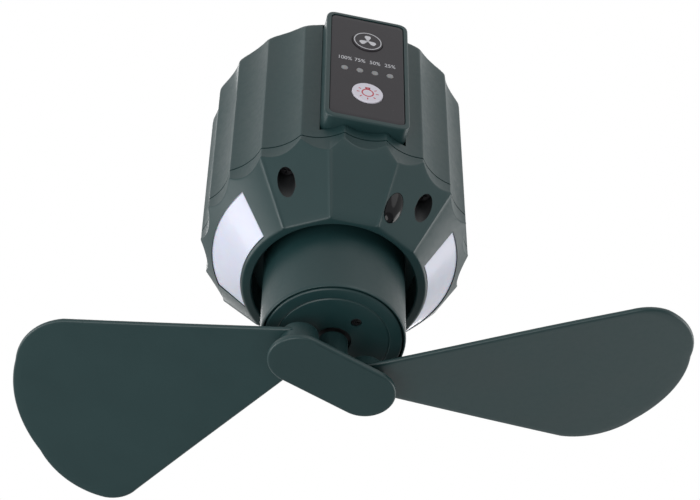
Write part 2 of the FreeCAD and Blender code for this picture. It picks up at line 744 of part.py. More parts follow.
def make_hub():
    """Oblong hub plate with its boss, its two folding posts and the motor shaft."""
    body = new_body("rotor_plate", turned(value_of("size.hubTurn")))
    plan = new_sketch(body, "hub_plan", level="size.hubFace")
    reach, end = value_of("size.hubOffset"), value_of("size.hubEnd")
    left_low, left_high = Vec(-reach, -end, 0), Vec(-reach, end, 0)
    right_low, right_high = Vec(reach, -end, 0), Vec(reach, end, 0)
    add_path(plan, [
        (left_low, right_low),
        (right_low, Vec(reach + end, 0, 0), right_high),
        (right_high, left_high),
        (left_high, Vec(-reach - end, 0, 0), left_low),
    ])
    plate = pad(body, plan, "size.hubThick", "hub_pad")
    doc.recompute()
    face = [f"Face{number}" for number, item in enumerate(body.Shape.Faces, start=1)
            if abs(item.CenterOfMass.z - value_of("size.hubFace")) < 1e-6]
    bevel = body.newObject("PartDesign::Chamfer", "hub_bevel")
    bevel.Base = (plate, face)
    bevel.Size = 0.6
    body.Tip = bevel
    boss = turned_part("hub_boss", [
        ("size.shaftRadius", "size.hubFace + size.hubThick - 0.5"),
        ("size.bossRadius + 1", "size.hubFace + size.hubThick - 0.5"),
        ("size.bossRadius", "size.hubFace + size.hubThick + 1.5"),
        ("size.bossRadius", "size.podEnd - 0.8"),
        ("size.shaftRadius", "size.podEnd - 0.8"),
    ])
    pieces = [boss]
    for side in BLADE_REST:
        spot = FreeCAD.Placement(hub_spot(side), FreeCAD.Rotation())
        pieces.append(turned_part("hub_post_" + side, [
            ("1.25", "size.hubFace + size.hubThick - 0.5"),
            ("size.postRadius", "size.hubFace + size.hubThick - 0.5"),
            ("size.postRadius", "size.barrelTop + 0.1"),
            ("1.25", "size.barrelTop + 0.1"),
        ], spot))
    shaft_hole = disc_part("hub_shaft_hole", "size.shaftRadius", "size.hubFace + 1.6", "30")
    fused = boolean("Part::MultiFuse", "hub_form", body, pieces)
    keep("rotor_hub", cut("rotor_hub", fused, [shaft_hole]), "rotor")
    keep("motor_shaft", disc_part("motor_shaft", "size.shaftRadius", "size.hubFace + 1.6",
                                  "size.podEnd + 24 - size.hubFace - 1.6"), "rotor")
    screw = turned_part("pivot_screw", [
        ("0", "size.barrelTop - 6"),
        ("1.25", "size.barrelTop - 6"),
        ("1.25", "size.barrelTop + 0.1"),
        ("5.0", "size.barrelTop + 0.1"),
        ("5.0", "size.barrelTop + 1.1"),
        ("4.0", "size.barrelTop + 1.9"),
        ("0", "size.barrelTop + 1.9"),
    ])
    spots = [FreeCAD.Placement(hub_spot(side), FreeCAD.Rotation()) for side in BLADE_REST]
    keep("pivot_screws", copies("pivot_screws", screw, spots), "rotor")


def make_blade(side):
    """Pitched paddle with a barrel that turns on its post; its straight edge lies along local X."""
    outward = value_of("size.hubTurn") + (0.0 if side == "right" else 180.0)
    name = "blade_" + side
    spot = FreeCAD.Placement(hub_spot(side), FreeCAD.Rotation(UP, outward + BLADE_REST[side]))
    body = new_body(name + "_plate", spot)
    rise, slope = value_of("size.bladeRise"), value_of("size.bladeSlope")
    normal = Vec(-rise, -slope, 1)
    tilt = FreeCAD.Rotation(Vec(0, 0, 1), normal)
    level = Vec(0, 0, value_of("size.bladeLevel - size.bladeThick / 2"))
    plan = new_sketch(body, name + "_plan", offset=FreeCAD.Placement(level, tilt))
    root = value_of("size.barrelRadius")
    start, crown, nose = Vec(0, root, 0), Vec(93, 11.5, 0), Vec(117, -8, 0)
    tip, toe, heel = Vec(116, -53, 0), Vec(92, -76.3, 0), Vec(78, -72, 0)
    low, back = Vec(-4.9, -5.8, 0), Vec(-root, 0, 0)
    add_path(plan, [
        (start, crown),
        (crown, Vec(108.5, 5, 0), nose),
        (nose, Vec(121.5, -27, 0), tip),
        (tip, Vec(107.5, -67.5, 0), toe),
        (toe, Vec(84.5, -75.8, 0), heel),
        (heel, low),
        (low, back, start),
    ])
    pad(body, plan, "size.bladeThick", name + "_pad")
    barrel = disc_part(name + "_barrel", "size.barrelRadius", "size.barrelFoot",
                       "size.barrelTop - size.barrelFoot", placement=spot)
    fused = boolean("Part::MultiFuse", name + "_form", body, [barrel])
    bore = disc_part(name + "_bore", "size.postRadius + size.pinPlay", "size.barrelFoot - 2", "20", placement=spot)
    keep(name, cut(name, fused, [bore]), name)


def check_all():
    """Stops the build on any broken object or shape."""
    for item in doc.Objects:
        if {"Invalid", "Error"} & set(item.State):
            raise RuntimeError(f"{item.Name}: {item.State}")


def export_all():
    """Writes one file per node."""
    for name, (item, body) in nodes.items():
        shape = item.Shape
        if shape.isNull() or not shape.isValid():
            raise RuntimeError(f"{name} has no valid shape")
        item.Label = name
        shape.exportStep(f"parts/{name}.step")
        solids = len(shape.Solids)
        box = shape.BoundBox
        print(f"{name:20s} {body:12s} solids {solids} volume {shape.Volume:10.1f} "
              f"x {box.XMin:.1f} {box.XMax:.1f} y {box.YMin:.1f} {box.YMax:.1f} z {box.ZMin:.1f} {box.ZMax:.1f}")


make_shell()
make_top()
make_bail()
make_lower_cover()
make_windows()
make_screws()
make_dome()
make_pod()
make_motor()
make_panel()
make_power()
make_hub()
make_blade("left")
make_blade("right")
doc.recompute()
check_all()
export_all()
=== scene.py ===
"""Looks of a portable hanging fan with a folding two-blade rotor, a lamp and a control panel."""
import logging
import math
from dataclasses import dataclass, field
from enum import Enum
from typing import Any, Callable, Sequence

import bmesh
import bpy
import numpy as np
from mathutils import Matrix, Vector


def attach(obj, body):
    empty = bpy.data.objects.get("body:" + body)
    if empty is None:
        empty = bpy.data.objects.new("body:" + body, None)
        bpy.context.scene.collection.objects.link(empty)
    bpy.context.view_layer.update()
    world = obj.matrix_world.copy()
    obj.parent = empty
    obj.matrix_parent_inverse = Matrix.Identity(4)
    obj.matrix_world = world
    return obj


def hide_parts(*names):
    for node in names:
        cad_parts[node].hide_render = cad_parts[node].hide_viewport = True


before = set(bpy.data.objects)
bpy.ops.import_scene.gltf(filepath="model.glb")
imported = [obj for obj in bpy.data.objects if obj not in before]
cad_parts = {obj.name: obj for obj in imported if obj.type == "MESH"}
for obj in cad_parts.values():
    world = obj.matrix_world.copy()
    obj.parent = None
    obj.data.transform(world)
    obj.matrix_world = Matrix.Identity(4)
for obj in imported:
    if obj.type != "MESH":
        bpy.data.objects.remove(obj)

ARM_REACH, ARM_WIDTH, ARM_DEPTH = 0.62, 0.14, 0.6    # cross recess, as shares of a screw's head
LEAST_LEFT = 0.1    # share of a base mesh that a sound Boolean always leaves here
LEAST_CHANGE = 1e-6    # share of a base mesh that a sound Boolean always adds or takes here
MM = 0.001
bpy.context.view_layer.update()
log = logging.getLogger("fan")

Array = np.ndarray
Corner = tuple[float, float]


class Side(Enum):
    """Left or right piece of a pair, with the sign of its X."""

    LEFT = -1
    RIGHT = 1

    @property
    def word(self) -> str:
        """Name used in node and body names."""
        return self.name.lower()


class Edge(Enum):
    """How strongly a mesh edge must bend, in degrees, to stay sharp."""

    SOFT = 40.0
    CRISP = 24.0


# Shader maths


class Sock:
    """One shader socket with Python operators; each operator adds a Math node."""

    def __init__(self, tree: bpy.types.NodeTree, socket: Any) -> None:
        """Wraps a socket of a node tree."""
        self.tree = tree
        self.socket = socket

    def _math(self, operation: str, first: Any, second: Any) -> "Sock":
        """Adds a Math node for two operands, each a Sock or a number."""
        node = self.tree.nodes.new("ShaderNodeMath")
        node.operation = operation
        for index, value in enumerate((first, second)):
            if isinstance(value, Sock):
                self.tree.links.new(value.socket, node.inputs[index])
            else:
                node.inputs[index].default_value = float(value)
        return Sock(self.tree, node.outputs[0])

    def __add__(self, other: Any) -> "Sock":
        """Sum."""
        return self._math("ADD", self, other)

    def __radd__(self, other: Any) -> "Sock":
        """Reflected sum."""
        return self._math("ADD", other, self)

    def __sub__(self, other: Any) -> "Sock":
        """Difference."""
        return self._math("SUBTRACT", self, other)

    def __rsub__(self, other: Any) -> "Sock":
        """Reflected difference."""
        return self._math("SUBTRACT", other, self)

    def __mul__(self, other: Any) -> "Sock":
        """Product."""
        return self._math("MULTIPLY", self, other)

    def __rmul__(self, other: Any) -> "Sock":
        """Reflected product."""
        return self._math("MULTIPLY", other, self)

    def least(self, other: Any) -> "Sock":
        """Smaller of two values."""
        return self._math("MINIMUM", self, other)

    def __gt__(self, other: Any) -> "Sock":
        """One where the left side is larger, else zero."""
        return self._math("GREATER_THAN", self, other)


class Graph:
    """Node tree of one material."""

    def __init__(self, name: str) -> None:
        """Starts a material with a Principled shader.

        Args:
            name: Material name in plain words.
        """
        self.material = bpy.data.materials.new(name)
        self.material.use_nodes = True
        self.tree = self.material.node_tree
        self.tree.nodes.clear()
        self.shader = self.tree.nodes.new("ShaderNodeBsdfPrincipled")
        output = self.tree.nodes.new("ShaderNodeOutputMaterial")
        self.tree.links.new(self.shader.outputs[0], output.inputs[0])

    def node(self, kind: str, settings: dict[str, Any] | None = None,
             inputs: dict[Any, Any] | None = None, output: Any = 0) -> Sock:
        """Adds any node.

        Args:
            kind: Node type.
            settings: Attributes set first; "stops" fills a colour ramp.
            inputs: Values or Socks by socket name or index.
            output: Name or index of the socket to return.

        Returns:
            The wrapped output socket.
        """
        node = self.tree.nodes.new(kind)
        for key, value in (settings or {}).items():
            if key == "stops":
                self._fill_ramp(node.color_ramp, value)
            else:
                setattr(node, key, value)
        for key, value in (inputs or {}).items():
            if isinstance(value, Sock):
                self.tree.links.new(value.socket, node.inputs[key])
            else:
                node.inputs[key].default_value = value
        return Sock(self.tree, node.outputs[output])

    @staticmethod
    def _fill_ramp(ramp: Any, stops: Sequence[tuple[float, Sequence[float]]]) -> None:
        """Sets a ramp's stops, each a place and a colour."""
        while len(ramp.elements) < len(stops):
            ramp.elements.new(1.0)
        for element, (place, colour) in zip(ramp.elements, stops):
            element.position = place
            element.color = colour

    def place(self) -> Sock:
        """Object coordinates, in metres."""
        return self.node("ShaderNodeTexCoord", output="Object")

    def noise(self, scale: float, detail: float = 3.0, roughness: float = 0.55) -> Sock:
        """Noise over object coordinates.

        Args:
            scale: Cells in a metre.
            detail: Octaves.
            roughness: Strength of the fine octaves.

        Returns:
            Value around one half.
        """
        inputs = {"Vector": self.place(), "Scale": scale, "Detail": detail, "Roughness": roughness}
        return self.node("ShaderNodeTexNoise", inputs=inputs)

    def mix(self, factor: Sock, low: Sequence[float], high: Sequence[float]) -> Sock:
        """Mixes two colours by a factor."""
        inputs = {0: factor, 6: (*low, 1.0), 7: (*high, 1.0)}
        return self.node("ShaderNodeMix", {"data_type": "RGBA"}, inputs, output=2)

    def bump(self, height: Sock, strength: float, depth: float) -> Sock:
        """Normal bent by a height.

        Args:
            height: Height value.
            strength: Bump strength.
            depth: Distance in metres for a height of one.

        Returns:
            Normal for the shader.
        """
        return self.node("ShaderNodeBump", inputs={"Height": height, "Strength": strength, "Distance": depth})

    def feed(self, **sockets: Any) -> None:
        """Sets or links the shader's sockets, named with underscores for spaces."""
        for key, value in sockets.items():
            target = self.shader.inputs[key.replace("_", " ")]
            if isinstance(value, Sock):
                self.tree.links.new(value.socket, target)
            else:
                target.default_value = value


@dataclass(frozen=True)
class MouldedPlastic:
    """Matt moulded plastic: a fine spark-eroded grain, cloudy gloss and faint colour drift."""

    name: str
    colour: tuple[float, float, float]
    roughness: float = 0.52
    grain: float = 2600.0
    grain_depth: float = 0.00005
    drift: float = 0.16

    def build(self) -> bpy.types.Material:
        """Makes the material."""
        graph = Graph(self.name)
        cloud = graph.noise(38.0, 2.0)
        grain = graph.noise(self.grain, 2.0, 0.6)
        rub = graph.noise(420.0, 4.0, 0.7)
        light = tuple(min(1.0, part * (1 + self.drift)) for part in self.colour)
        dark = tuple(part * (1 - self.drift) for part in self.colour)
        graph.feed(
            Base_Color=graph.mix(cloud * 0.7 + grain * 0.3, dark, light),
            Roughness=self.roughness + (rub - 0.5) * 0.22 + (cloud - 0.5) * 0.14,
            Normal=graph.bump(grain, 0.35, self.grain_depth),
        )
        graph.feed(Specular_IOR_Level=0.4)
        return graph.material


@dataclass(frozen=True)
class GlossPlastic:
    """Polished plastic with a clear coat, faint haze and hairline rubs."""

    name: str
    colour: tuple[float, float, float]
    roughness: float = 0.09
    coat: float = 0.6

    def build(self) -> bpy.types.Material:
        """Makes the material."""
        graph = Graph(self.name)
        haze = graph.noise(60.0, 3.0)
        rub = graph.noise(900.0, 5.0, 0.75)
        dark = tuple(part * 0.86 for part in self.colour)
        graph.feed(
            Base_Color=graph.mix(haze, dark, self.colour),
            Roughness=self.roughness + haze * 0.05 + (rub > 0.66) * 0.05,
            Normal=graph.bump(haze, 0.08, 0.0002),
        )
        graph.feed(Coat_Weight=self.coat, Coat_Roughness=0.04, Specular_IOR_Level=0.2)
        return graph.material


@dataclass(frozen=True)
class Diffuser:
    """Milky lamp window: pale body with light spread inside and a satin skin."""

    name: str
    colour: tuple[float, float, float]
    glow: float = 0.12

    def build(self) -> bpy.types.Material:
        """Makes the material."""
        graph = Graph(self.name)
        cloud = graph.noise(55.0, 2.0)
        grain = graph.noise(3000.0, 2.0)
        dark = tuple(part * 0.93 for part in self.colour)
        graph.feed(
            Base_Color=graph.mix(cloud, dark, self.colour),
            Roughness=0.3 + cloud * 0.12,
            Normal=graph.bump(grain, 0.15, 0.00003),
            Emission_Color=graph.mix(cloud, dark, self.colour),
        )
        graph.feed(Emission_Strength=self.glow, Subsurface_Weight=0.25, Subsurface_Scale=0.002)
        graph.feed(Coat_Weight=0.15)
        return graph.material


@dataclass(frozen=True)
class Metal:
    """Turned or drawn metal with fine streaks along one axis."""

    name: str
    colour: tuple[float, float, float]
    roughness: float = 0.28
    stretch: tuple[float, float, float] = (1.0, 1.0, 40.0)

    def build(self) -> bpy.types.Material:
        """Makes the material."""
        graph = Graph(self.name)
        where = graph.node("ShaderNodeMapping", inputs={"Vector": graph.place(), "Scale": self.stretch})
        streak = graph.node("ShaderNodeTexNoise", inputs={"Vector": where, "Scale": 500.0, "Detail": 3.0})
        spots = graph.noise(700.0, 3.0)
        dark = tuple(part * 0.8 for part in self.colour)
        graph.feed(
            Base_Color=graph.mix(streak, dark, self.colour),
            Roughness=self.roughness + streak * 0.14 + (spots > 0.64) * 0.08,
            Normal=graph.bump(streak, 0.2, 0.00004),
        )
        graph.feed(Metallic=1.0)
        return graph.material


@dataclass(frozen=True)
class Ink:
    """Screen-printed ink, slightly uneven."""

    name: str
    colour: tuple[float, float, float]

    def build(self) -> bpy.types.Material:
        """Makes the material."""
        graph = Graph(self.name)
        speck = graph.noise(2400.0, 3.0)
        dark = tuple(part * 0.9 for part in self.colour)
        graph.feed(
            Base_Color=graph.mix(speck, dark, self.colour),
            Roughness=0.42 + speck * 0.1,
            Normal=graph.bump(speck, 0.1, 0.00002),
        )
        return graph.material


# Surfaces


def settle(mesh: bpy.types.Mesh, edge: Edge = Edge.CRISP) -> bpy.types.Mesh:
    """Welds seams and poles, drops loose edges, points faces outwards and shades smooth up to an angle.

    Args:
        mesh: Mesh to finish.
        edge: Angle beyond which an edge stays sharp.

    Returns:
        The same mesh.
    """
    work = bmesh.new()
    work.from_mesh(mesh)
    bmesh.ops.remove_doubles(work, verts=work.verts, dist=1e-6)
    bmesh.ops.dissolve_degenerate(work, edges=work.edges, dist=1e-7)
    loose = [item for item in work.edges if not item.link_faces]
    bmesh.ops.delete(work, geom=loose, context="EDGES")
    bmesh.ops.recalc_face_normals(work, faces=work.faces)
    work.to_mesh(mesh)
    work.free()
    mesh.shade_smooth()
    mesh.set_sharp_from_angle(angle=math.radians(edge.value))
    return mesh


def grid_faces(rows: int, columns: int, close_rows: bool, close_columns: bool) -> Array:
    """Quads between neighbouring grid points, as an index array, wrapped where closed."""
    row = np.arange(rows if close_rows else rows - 1)
    column = np.arange(columns if close_columns else columns - 1)
    low, left = np.meshgrid(row, column, indexing="ij")
    high, right = (low + 1) % rows, (left + 1) % columns
    here, above = low * columns, high * columns
    quads = np.stack([here + left, here + right, above + right, above + left], -1)
    return quads.reshape(-1, 4)


def mesh_of(name: str, points: Array, faces: Array) -> bpy.types.Mesh:
    """Mesh from an array of points in millimetres and an array of quads."""
    mesh = bpy.data.meshes.new(name)
    mesh.from_pydata((points.reshape(-1, 3) * MM).tolist(), [], faces.tolist())
    mesh.update()
    return mesh


def piece_of(name: str, mesh: bpy.types.Mesh, material: bpy.types.Material) -> bpy.types.Object:
    """Object at the origin with one material, linked to the scene."""
    piece = bpy.data.objects.new(name, mesh)
    bpy.context.scene.collection.objects.link(piece)
    mesh.materials.clear()
    mesh.materials.append(material)
    return piece


def surface(name: str, points: Array, close_rows: bool = False, close_columns: bool = True,
            edge: Edge = Edge.CRISP) -> bpy.types.Mesh:
    """Mesh of a grid of points.

    Args:
        name: Mesh name.
        points: Array of rows by columns by three, in millimetres.
        close_rows: Whether the last row joins the first.
        close_columns: Whether the last column joins the first.
        edge: Angle beyond which an edge stays sharp.

    Returns:
        A welded, smooth-shaded mesh.
    """
    rows, columns = points.shape[:2]
    mesh = mesh_of(name, points, grid_faces(rows, columns, close_rows, close_columns))
    return settle(mesh, edge)


def rounded(corners: Sequence[Corner], radius: float, steps: int = 5) -> Array:
    """Closed profile with every corner rounded.

    Each corner P becomes points of the curve (1-t)^2 A + 2t(1-t) P + t^2 B, where A and B lie on
    the two edges at the radius from P, or at 0.45 of a shorter edge.

    Args:
        corners: Corners in order.
        radius: Rounding in millimetres.
        steps: Points for each corner.

    Returns:
        Array of points by two.
    """
    here = np.array(corners, dtype=float)
    before, after = np.roll(here, 1, 0) - here, np.roll(here, -1, 0) - here
    reach_before = np.linalg.norm(before, axis=1, keepdims=True)
    reach_after = np.linalg.norm(after, axis=1, keepdims=True)
    cut = np.minimum(radius, 0.45 * np.minimum(reach_before, reach_after))
    start, end = here + before / reach_before * cut, here + after / reach_after * cut
    share = np.linspace(0, 1, steps)[None, :, None]
    bend = (1 - share) ** 2 * start[:, None] + 2 * share * (1 - share) * here[:, None]
    return (bend + share ** 2 * end[:, None]).reshape(-1, 2)


def lathe(name: str, profile: Array, columns: int = 128, centre: Corner = (0.0, 0.0),
          edge: Edge = Edge.CRISP) -> bpy.types.Mesh:
    """Closed profile of (radius, level) turned about a line parallel to Z.

    A point is (cx + r cos a, cy + r sin a, z) for each turn a.
    """
    turn = np.linspace(0, 2 * np.pi, columns, endpoint=False)[None, :]
    radius, level = profile[:, :1], profile[:, 1:]
    points = np.stack([centre[0] + radius * np.cos(turn), centre[1] + radius * np.sin(turn),
                       level + 0 * turn], -1)
    return surface(name, points, close_rows=True, edge=edge)


def slab(name: str, outline: Array, centre: Corner, low: float, high: float, round_off: float,
         place: Callable[[Array], Array] | None = None, edge: Edge = Edge.SOFT) -> bpy.types.Mesh:
    """Flat plate with a rounded rim from a closed outline.

    Rings run from a centre point out over the top, round the rim and back below. A rim ring at
    angle b sits inside the outline by r (1 - sin b) and at a level r (1 - cos b) from the face.

    Args:
        name: Mesh name.
        outline: Points by two, counter-clockwise.
        centre: Point that sees the whole outline.
        low: Lower face level.
        high: Upper face level.
        round_off: Rim radius.
        place: Function that puts the finished points in their place.
        edge: Angle beyond which an edge stays sharp.

    Returns:
        A closed mesh.
    """
    middle = np.array(centre)
    tangent = np.roll(outline, -1, 0) - np.roll(outline, 1, 0)
    tangent /= np.linalg.norm(tangent, axis=1, keepdims=True)
    inward = np.stack([-tangent[:, 1], tangent[:, 0]], 1)
    bend = np.linspace(0, np.pi / 2, 5)
    shares = (0.0, 0.2, 0.4, 0.6, 0.8, 0.93)
    rings = [(middle + (outline - middle) * share, high) for share in shares]
    rings += [(outline + inward * round_off * (1 - math.sin(b)), high - round_off * (1 - math.cos(b)))
              for b in bend]
    rings += [(outline + inward * round_off * (1 - math.sin(b)), low + round_off * (1 - math.cos(b)))
              for b in bend[::-1]]
    rings += [(middle + (outline - middle) * share, low) for share in shares[::-1]]
    flat = np.stack([ring for ring, _ in rings])
    level = np.array([height for _, height in rings])[:, None] + 0 * flat[..., 0]
    points = np.concatenate([flat, level[..., None]], -1)
    return surface(name, points if place is None else place(points), edge=edge)


def joined(name: str, meshes: Sequence[bpy.types.Mesh], edge: Edge = Edge.SOFT) -> bpy.types.Mesh:
    """One mesh that holds several, with edges sharp beyond an angle."""
    work = bmesh.new()
    for mesh in meshes:
        work.from_mesh(mesh)
    result = bpy.data.meshes.new(name)
    work.to_mesh(result)
    work.free()
    result.shade_smooth()
    result.set_sharp_from_angle(angle=math.radians(edge.value))
    return result


def bulk(mesh: bpy.types.Mesh) -> float:
    """Volume that a closed mesh holds, in cubic metres."""
    work = bmesh.new()
    work.from_mesh(mesh)
    volume = abs(work.calc_volume())
    work.free()
    return volume


def combine(base: bpy.types.Mesh, tools: Sequence[bpy.types.Mesh], operation: str,
            edge: Edge = Edge.CRISP) -> bpy.types.Mesh:
    """Exact Boolean of closed meshes.

    Args:
        base: First mesh.
        tools: Meshes that are added or taken away.
        operation: UNION or DIFFERENCE.
        edge: Angle beyond which an edge stays sharp.

    Returns:
        A new mesh.

    Raises:
        ValueError: The result has lost most of the base or is no different, so the Boolean has failed.
    """
    before = bulk(base)
    body = bpy.data.objects.new("boolean_body", base)
    tool = bpy.data.objects.new("boolean_tool", joined("boolean_tool", tools))
    for item in (body, tool):
        bpy.context.scene.collection.objects.link(item)
    change = body.modifiers.new("join", "BOOLEAN")
    change.operation = operation
    change.solver = "EXACT"
    change.object = tool
    bpy.context.view_layer.update()
    shape = body.evaluated_get(bpy.context.evaluated_depsgraph_get())
    result = bpy.data.meshes.new_from_object(shape)
    for item in (body, tool):
        bpy.data.objects.remove(item)
    after = bulk(result)
    change_made = before - after if operation == "DIFFERENCE" else after - before
    if after < LEAST_LEFT * before or change_made < LEAST_CHANGE * before:
        raise ValueError(f"Boolean on {base.name} has failed: {before} became {after}")
    result.shade_smooth()
    result.set_sharp_from_angle(angle=math.radians(edge.value))
    return result


def carve(base: bpy.types.Mesh, cutters: Sequence[bpy.types.Mesh]) -> bpy.types.Mesh:
    """Cuts closed meshes out of a closed mesh."""
    return combine(base, cutters, "DIFFERENCE")


def arc(start: Corner, middle: Corner, end: Corner, steps: int) -> Array:
    """Points of the circle through three points, from the first to just before the last."""
    (ax, ay), (bx, by), (cx, cy) = start, middle, end
    double = 2 * (ax * (by - cy) + bx * (cy - ay) + cx * (ay - by))
    squares = [x * x + y * y for x, y in (start, middle, end)]
    ox = (squares[0] * (by - cy) + squares[1] * (cy - ay) + squares[2] * (ay - by)) / double
    oy = (squares[0] * (cx - bx) + squares[1] * (ax - cx) + squares[2] * (bx - ax)) / double
    radius = math.hypot(ax - ox, ay - oy)
    first = math.atan2(ay - oy, ax - ox)
    sweep = math.atan2(cy - oy, cx - ox) - first
    turning = (bx - ax) * (cy - by) - (by - ay) * (cx - bx)
    if turning < 0:
        sweep -= 2 * math.pi * math.ceil(sweep / (2 * math.pi))
    else:
        sweep -= 2 * math.pi * math.floor(sweep / (2 * math.pi))
    turn = first + sweep * np.linspace(0, 1, steps, endpoint=False)
    return np.stack([ox + radius * np.cos(turn), oy + radius * np.sin(turn)], 1)


def line(start: Corner, end: Corner, steps: int) -> Array:
    """Points of a line, from the first to just before the last."""
    share = np.linspace(0, 1, steps, endpoint=False)[:, None]
    return np.array(start) * (1 - share) + np.array(end) * share


def facing(radius: float, degrees: float) -> Corner:
    """Point at a radius and an angle from the front, towards +X."""
    angle = math.radians(degrees)
    return radius * math.sin(angle), -radius * math.cos(angle)


def ring_points(angles: Array, radius: Array, level: Array) -> Array:
    """Grid of points (r sin a, -r cos a, z) from angles in degrees, measured from the front."""
    turn = np.radians(angles)[None, :]
    radius, level = np.broadcast_arrays(radius, level)
    return np.stack([radius * np.sin(turn), -radius * np.cos(turn), level + 0 * turn], -1)


def facing_front(points: Array) -> Array:
    """Turns (x, height, depth) points into (x, y, z) points of a plate on the front."""
    return points[..., [0, 2, 1]]


def spun(degrees: float, centre: Corner = (0.0, 0.0)) -> Callable[[Array], Array]:
    """Returns a function that turns points about Z and then moves them to a centre."""
    angle = math.radians(degrees)
    matrix = np.array([[math.cos(angle), math.sin(angle), 0],
                       [-math.sin(angle), math.cos(angle), 0],
                       [0, 0, 1]])
    shift = np.array([centre[0], centre[1], 0.0])
    return lambda points: points @ matrix + shift


def box(name: str, low: Sequence[float], high: Sequence[float], soft: float = 0.3) -> bpy.types.Mesh:
    """Block between two corners with rounded rims, as a plate that runs along Y."""
    corners = [(low[0], low[2]), (high[0], low[2]), (high[0], high[2]), (low[0], high[2])]
    middle = ((low[0] + high[0]) / 2, (low[2] + high[2]) / 2)
    return slab(name, rounded(corners, soft + 0.01), middle, low[1], high[1], soft, facing_front)


def sector(name: str, corners: Sequence[Corner], middle: float, half: float) -> bpy.types.Mesh:
    """Part turn of a closed profile, capped at both ends.

    Args:
        name: Mesh name.
        corners: Profile of (radius, level).
        middle: Direction from the front, in degrees.
        half: Half of the turn, in degrees.

    Returns:
        A closed mesh.
    """
    angles = np.linspace(middle - half, middle + half, 33)
    angles = np.concatenate([angles[:1], angles, angles[-1:]])
    profile = np.array(corners)
    shape = np.repeat(profile[:, None, :], len(angles), 1)
    shape[:, [0, -1]] = profile.mean(0)
    points = ring_points(angles, shape[..., 0], shape[..., 1])
    return surface(name, points, close_rows=True, close_columns=False)


def cross_screw(name: str, spots: Sequence[Corner], face: float, depth: float, head: float, core: float,
                length: float) -> bpy.types.Mesh:
    """Countersunk screws with a cross recess.

    The recess has arms of reach R and half width w, so in a direction a its edge is at
    min(R / max(|cos a|, |sin a|), w / min(|cos a|, |sin a|)).

    Args:
        name: Mesh name.
        spots: Screw axes.
        face: Level of the head's outer face.
        depth: Signed head height, towards the shank.
        head: Head radius.
        core: Shank radius.
        length: Shank length under the head.

    Returns:
        One mesh with a closed shell for each screw.
    """
    way = math.copysign(1.0, depth)
    reach, wide, floor = head * ARM_REACH, head * ARM_WIDTH, face + depth * ARM_DEPTH
    turn = np.linspace(0, 2 * np.pi, 144, endpoint=False)
    kinks = np.arctan2(wide, reach) * np.array([-1, 1]) + np.arange(4)[:, None] * np.pi / 2
    turn = np.unique(np.round(np.concatenate([turn, kinks.ravel() % (2 * np.pi)]), 9))
    along = np.maximum(np.abs(np.cos(turn)), np.abs(np.sin(turn)))
    aside = np.minimum(np.abs(np.cos(turn)), np.abs(np.sin(turn)))
    cross = np.minimum(reach / along, wide / np.maximum(aside, 1e-9))
    outer = rounded([(0.0, face), (head, face), (head, face + depth), (core, face + depth),
                     (core, face + depth + way * length), (0.0, face + depth + way * length)], 0.25)[5:-5]
    rows = [(0 * cross, floor), (0.9 * cross, floor), (cross, face)]
    rows += [(radius + 0 * cross, level) for radius, level in outer]
    rows += [(0 * cross, face + depth + way * length)]
    radius = np.stack([ring for ring, _ in rows])
    level = np.array([height for _, height in rows])[:, None] + 0 * radius
    screws = [surface(name, np.stack([x + radius * np.cos(turn), y + radius * np.sin(turn), level], -1))
              for x, y in spots]
    return joined(name, screws)


# Sub-assemblies


class Palette:
    """Every finish of the fan, built once."""

    def __init__(self) -> None:
        """Builds the materials."""
        self.shell = MouldedPlastic("deep_green_moulded_plastic", (0.0080, 0.0300, 0.0315), 0.43).build()
        self.blade = MouldedPlastic("deep_green_blade_plastic", (0.0085, 0.0300, 0.0315), 0.42,
                                    3200.0).build()
        self.trim = MouldedPlastic("black_moulded_plastic", (0.012, 0.013, 0.014), 0.5).build()
        self.screen = GlossPlastic("smoked_panel_gloss", (0.036, 0.033, 0.038), 0.2, 0.0).build()
        self.lens = GlossPlastic("black_lens_gloss", (0.004, 0.004, 0.005), 0.10, 0.0).build()
        self.key = MouldedPlastic("white_key_plastic", (0.68, 0.66, 0.74), 0.4, 3000.0, 0.00003, 0.04).build()
        self.window = Diffuser("milky_lamp_window", (0.56, 0.58, 0.69), 0.03).build()
        self.dot = Diffuser("grey_light_pipe", (0.24, 0.24, 0.25), 0.0).build()
        self.steel = Metal("drawn_steel", (0.56, 0.56, 0.55)).build()
        self.screw = Metal("black_zinc_screw", (0.09, 0.09, 0.095), 0.34).build()
        self.board = GlossPlastic("green_circuit_board", (0.012, 0.09, 0.035), 0.34, 0.3).build()
        self.chip = Diffuser("yellow_lamp_chip", (0.75, 0.62, 0.18), 0.05).build()
        self.wrap = GlossPlastic("blue_cell_wrap", (0.03, 0.13, 0.30), 0.25, 0.4).build()
        self.white_ink = Ink("white_print", (0.62, 0.62, 0.66)).build()
        self.red_ink = Ink("red_print", (0.50, 0.03, 0.05)).build()


@dataclass
class Assembly:
    """A group of pieces on the same body of the model."""

    palette: Palette
    body: str = "base"

    def put(self, name: str, mesh: bpy.types.Mesh, finish: bpy.types.Material, nodes: Sequence[str] = (),
            slot: str = "", body: str = "") -> bpy.types.Object:
        """Places a piece, lets it ride on its body and hides the nodes that it replaces.

        Args:
            name: Piece name.
            mesh: Finished mesh in place.
            finish: Material.
            nodes: Nodes of the frame that it replaces.
            slot: Material slot of the model; not used.
            body: Body that it rides on, if not the assembly's own.

        Returns:
            The placed object.
        """
        piece = piece_of(name, mesh, finish)
        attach(piece, body or self.body)
        if nodes:
            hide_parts(*nodes)
        log.info("%s: %d faces on %s", name, len(mesh.polygons), body or self.body)
        return piece


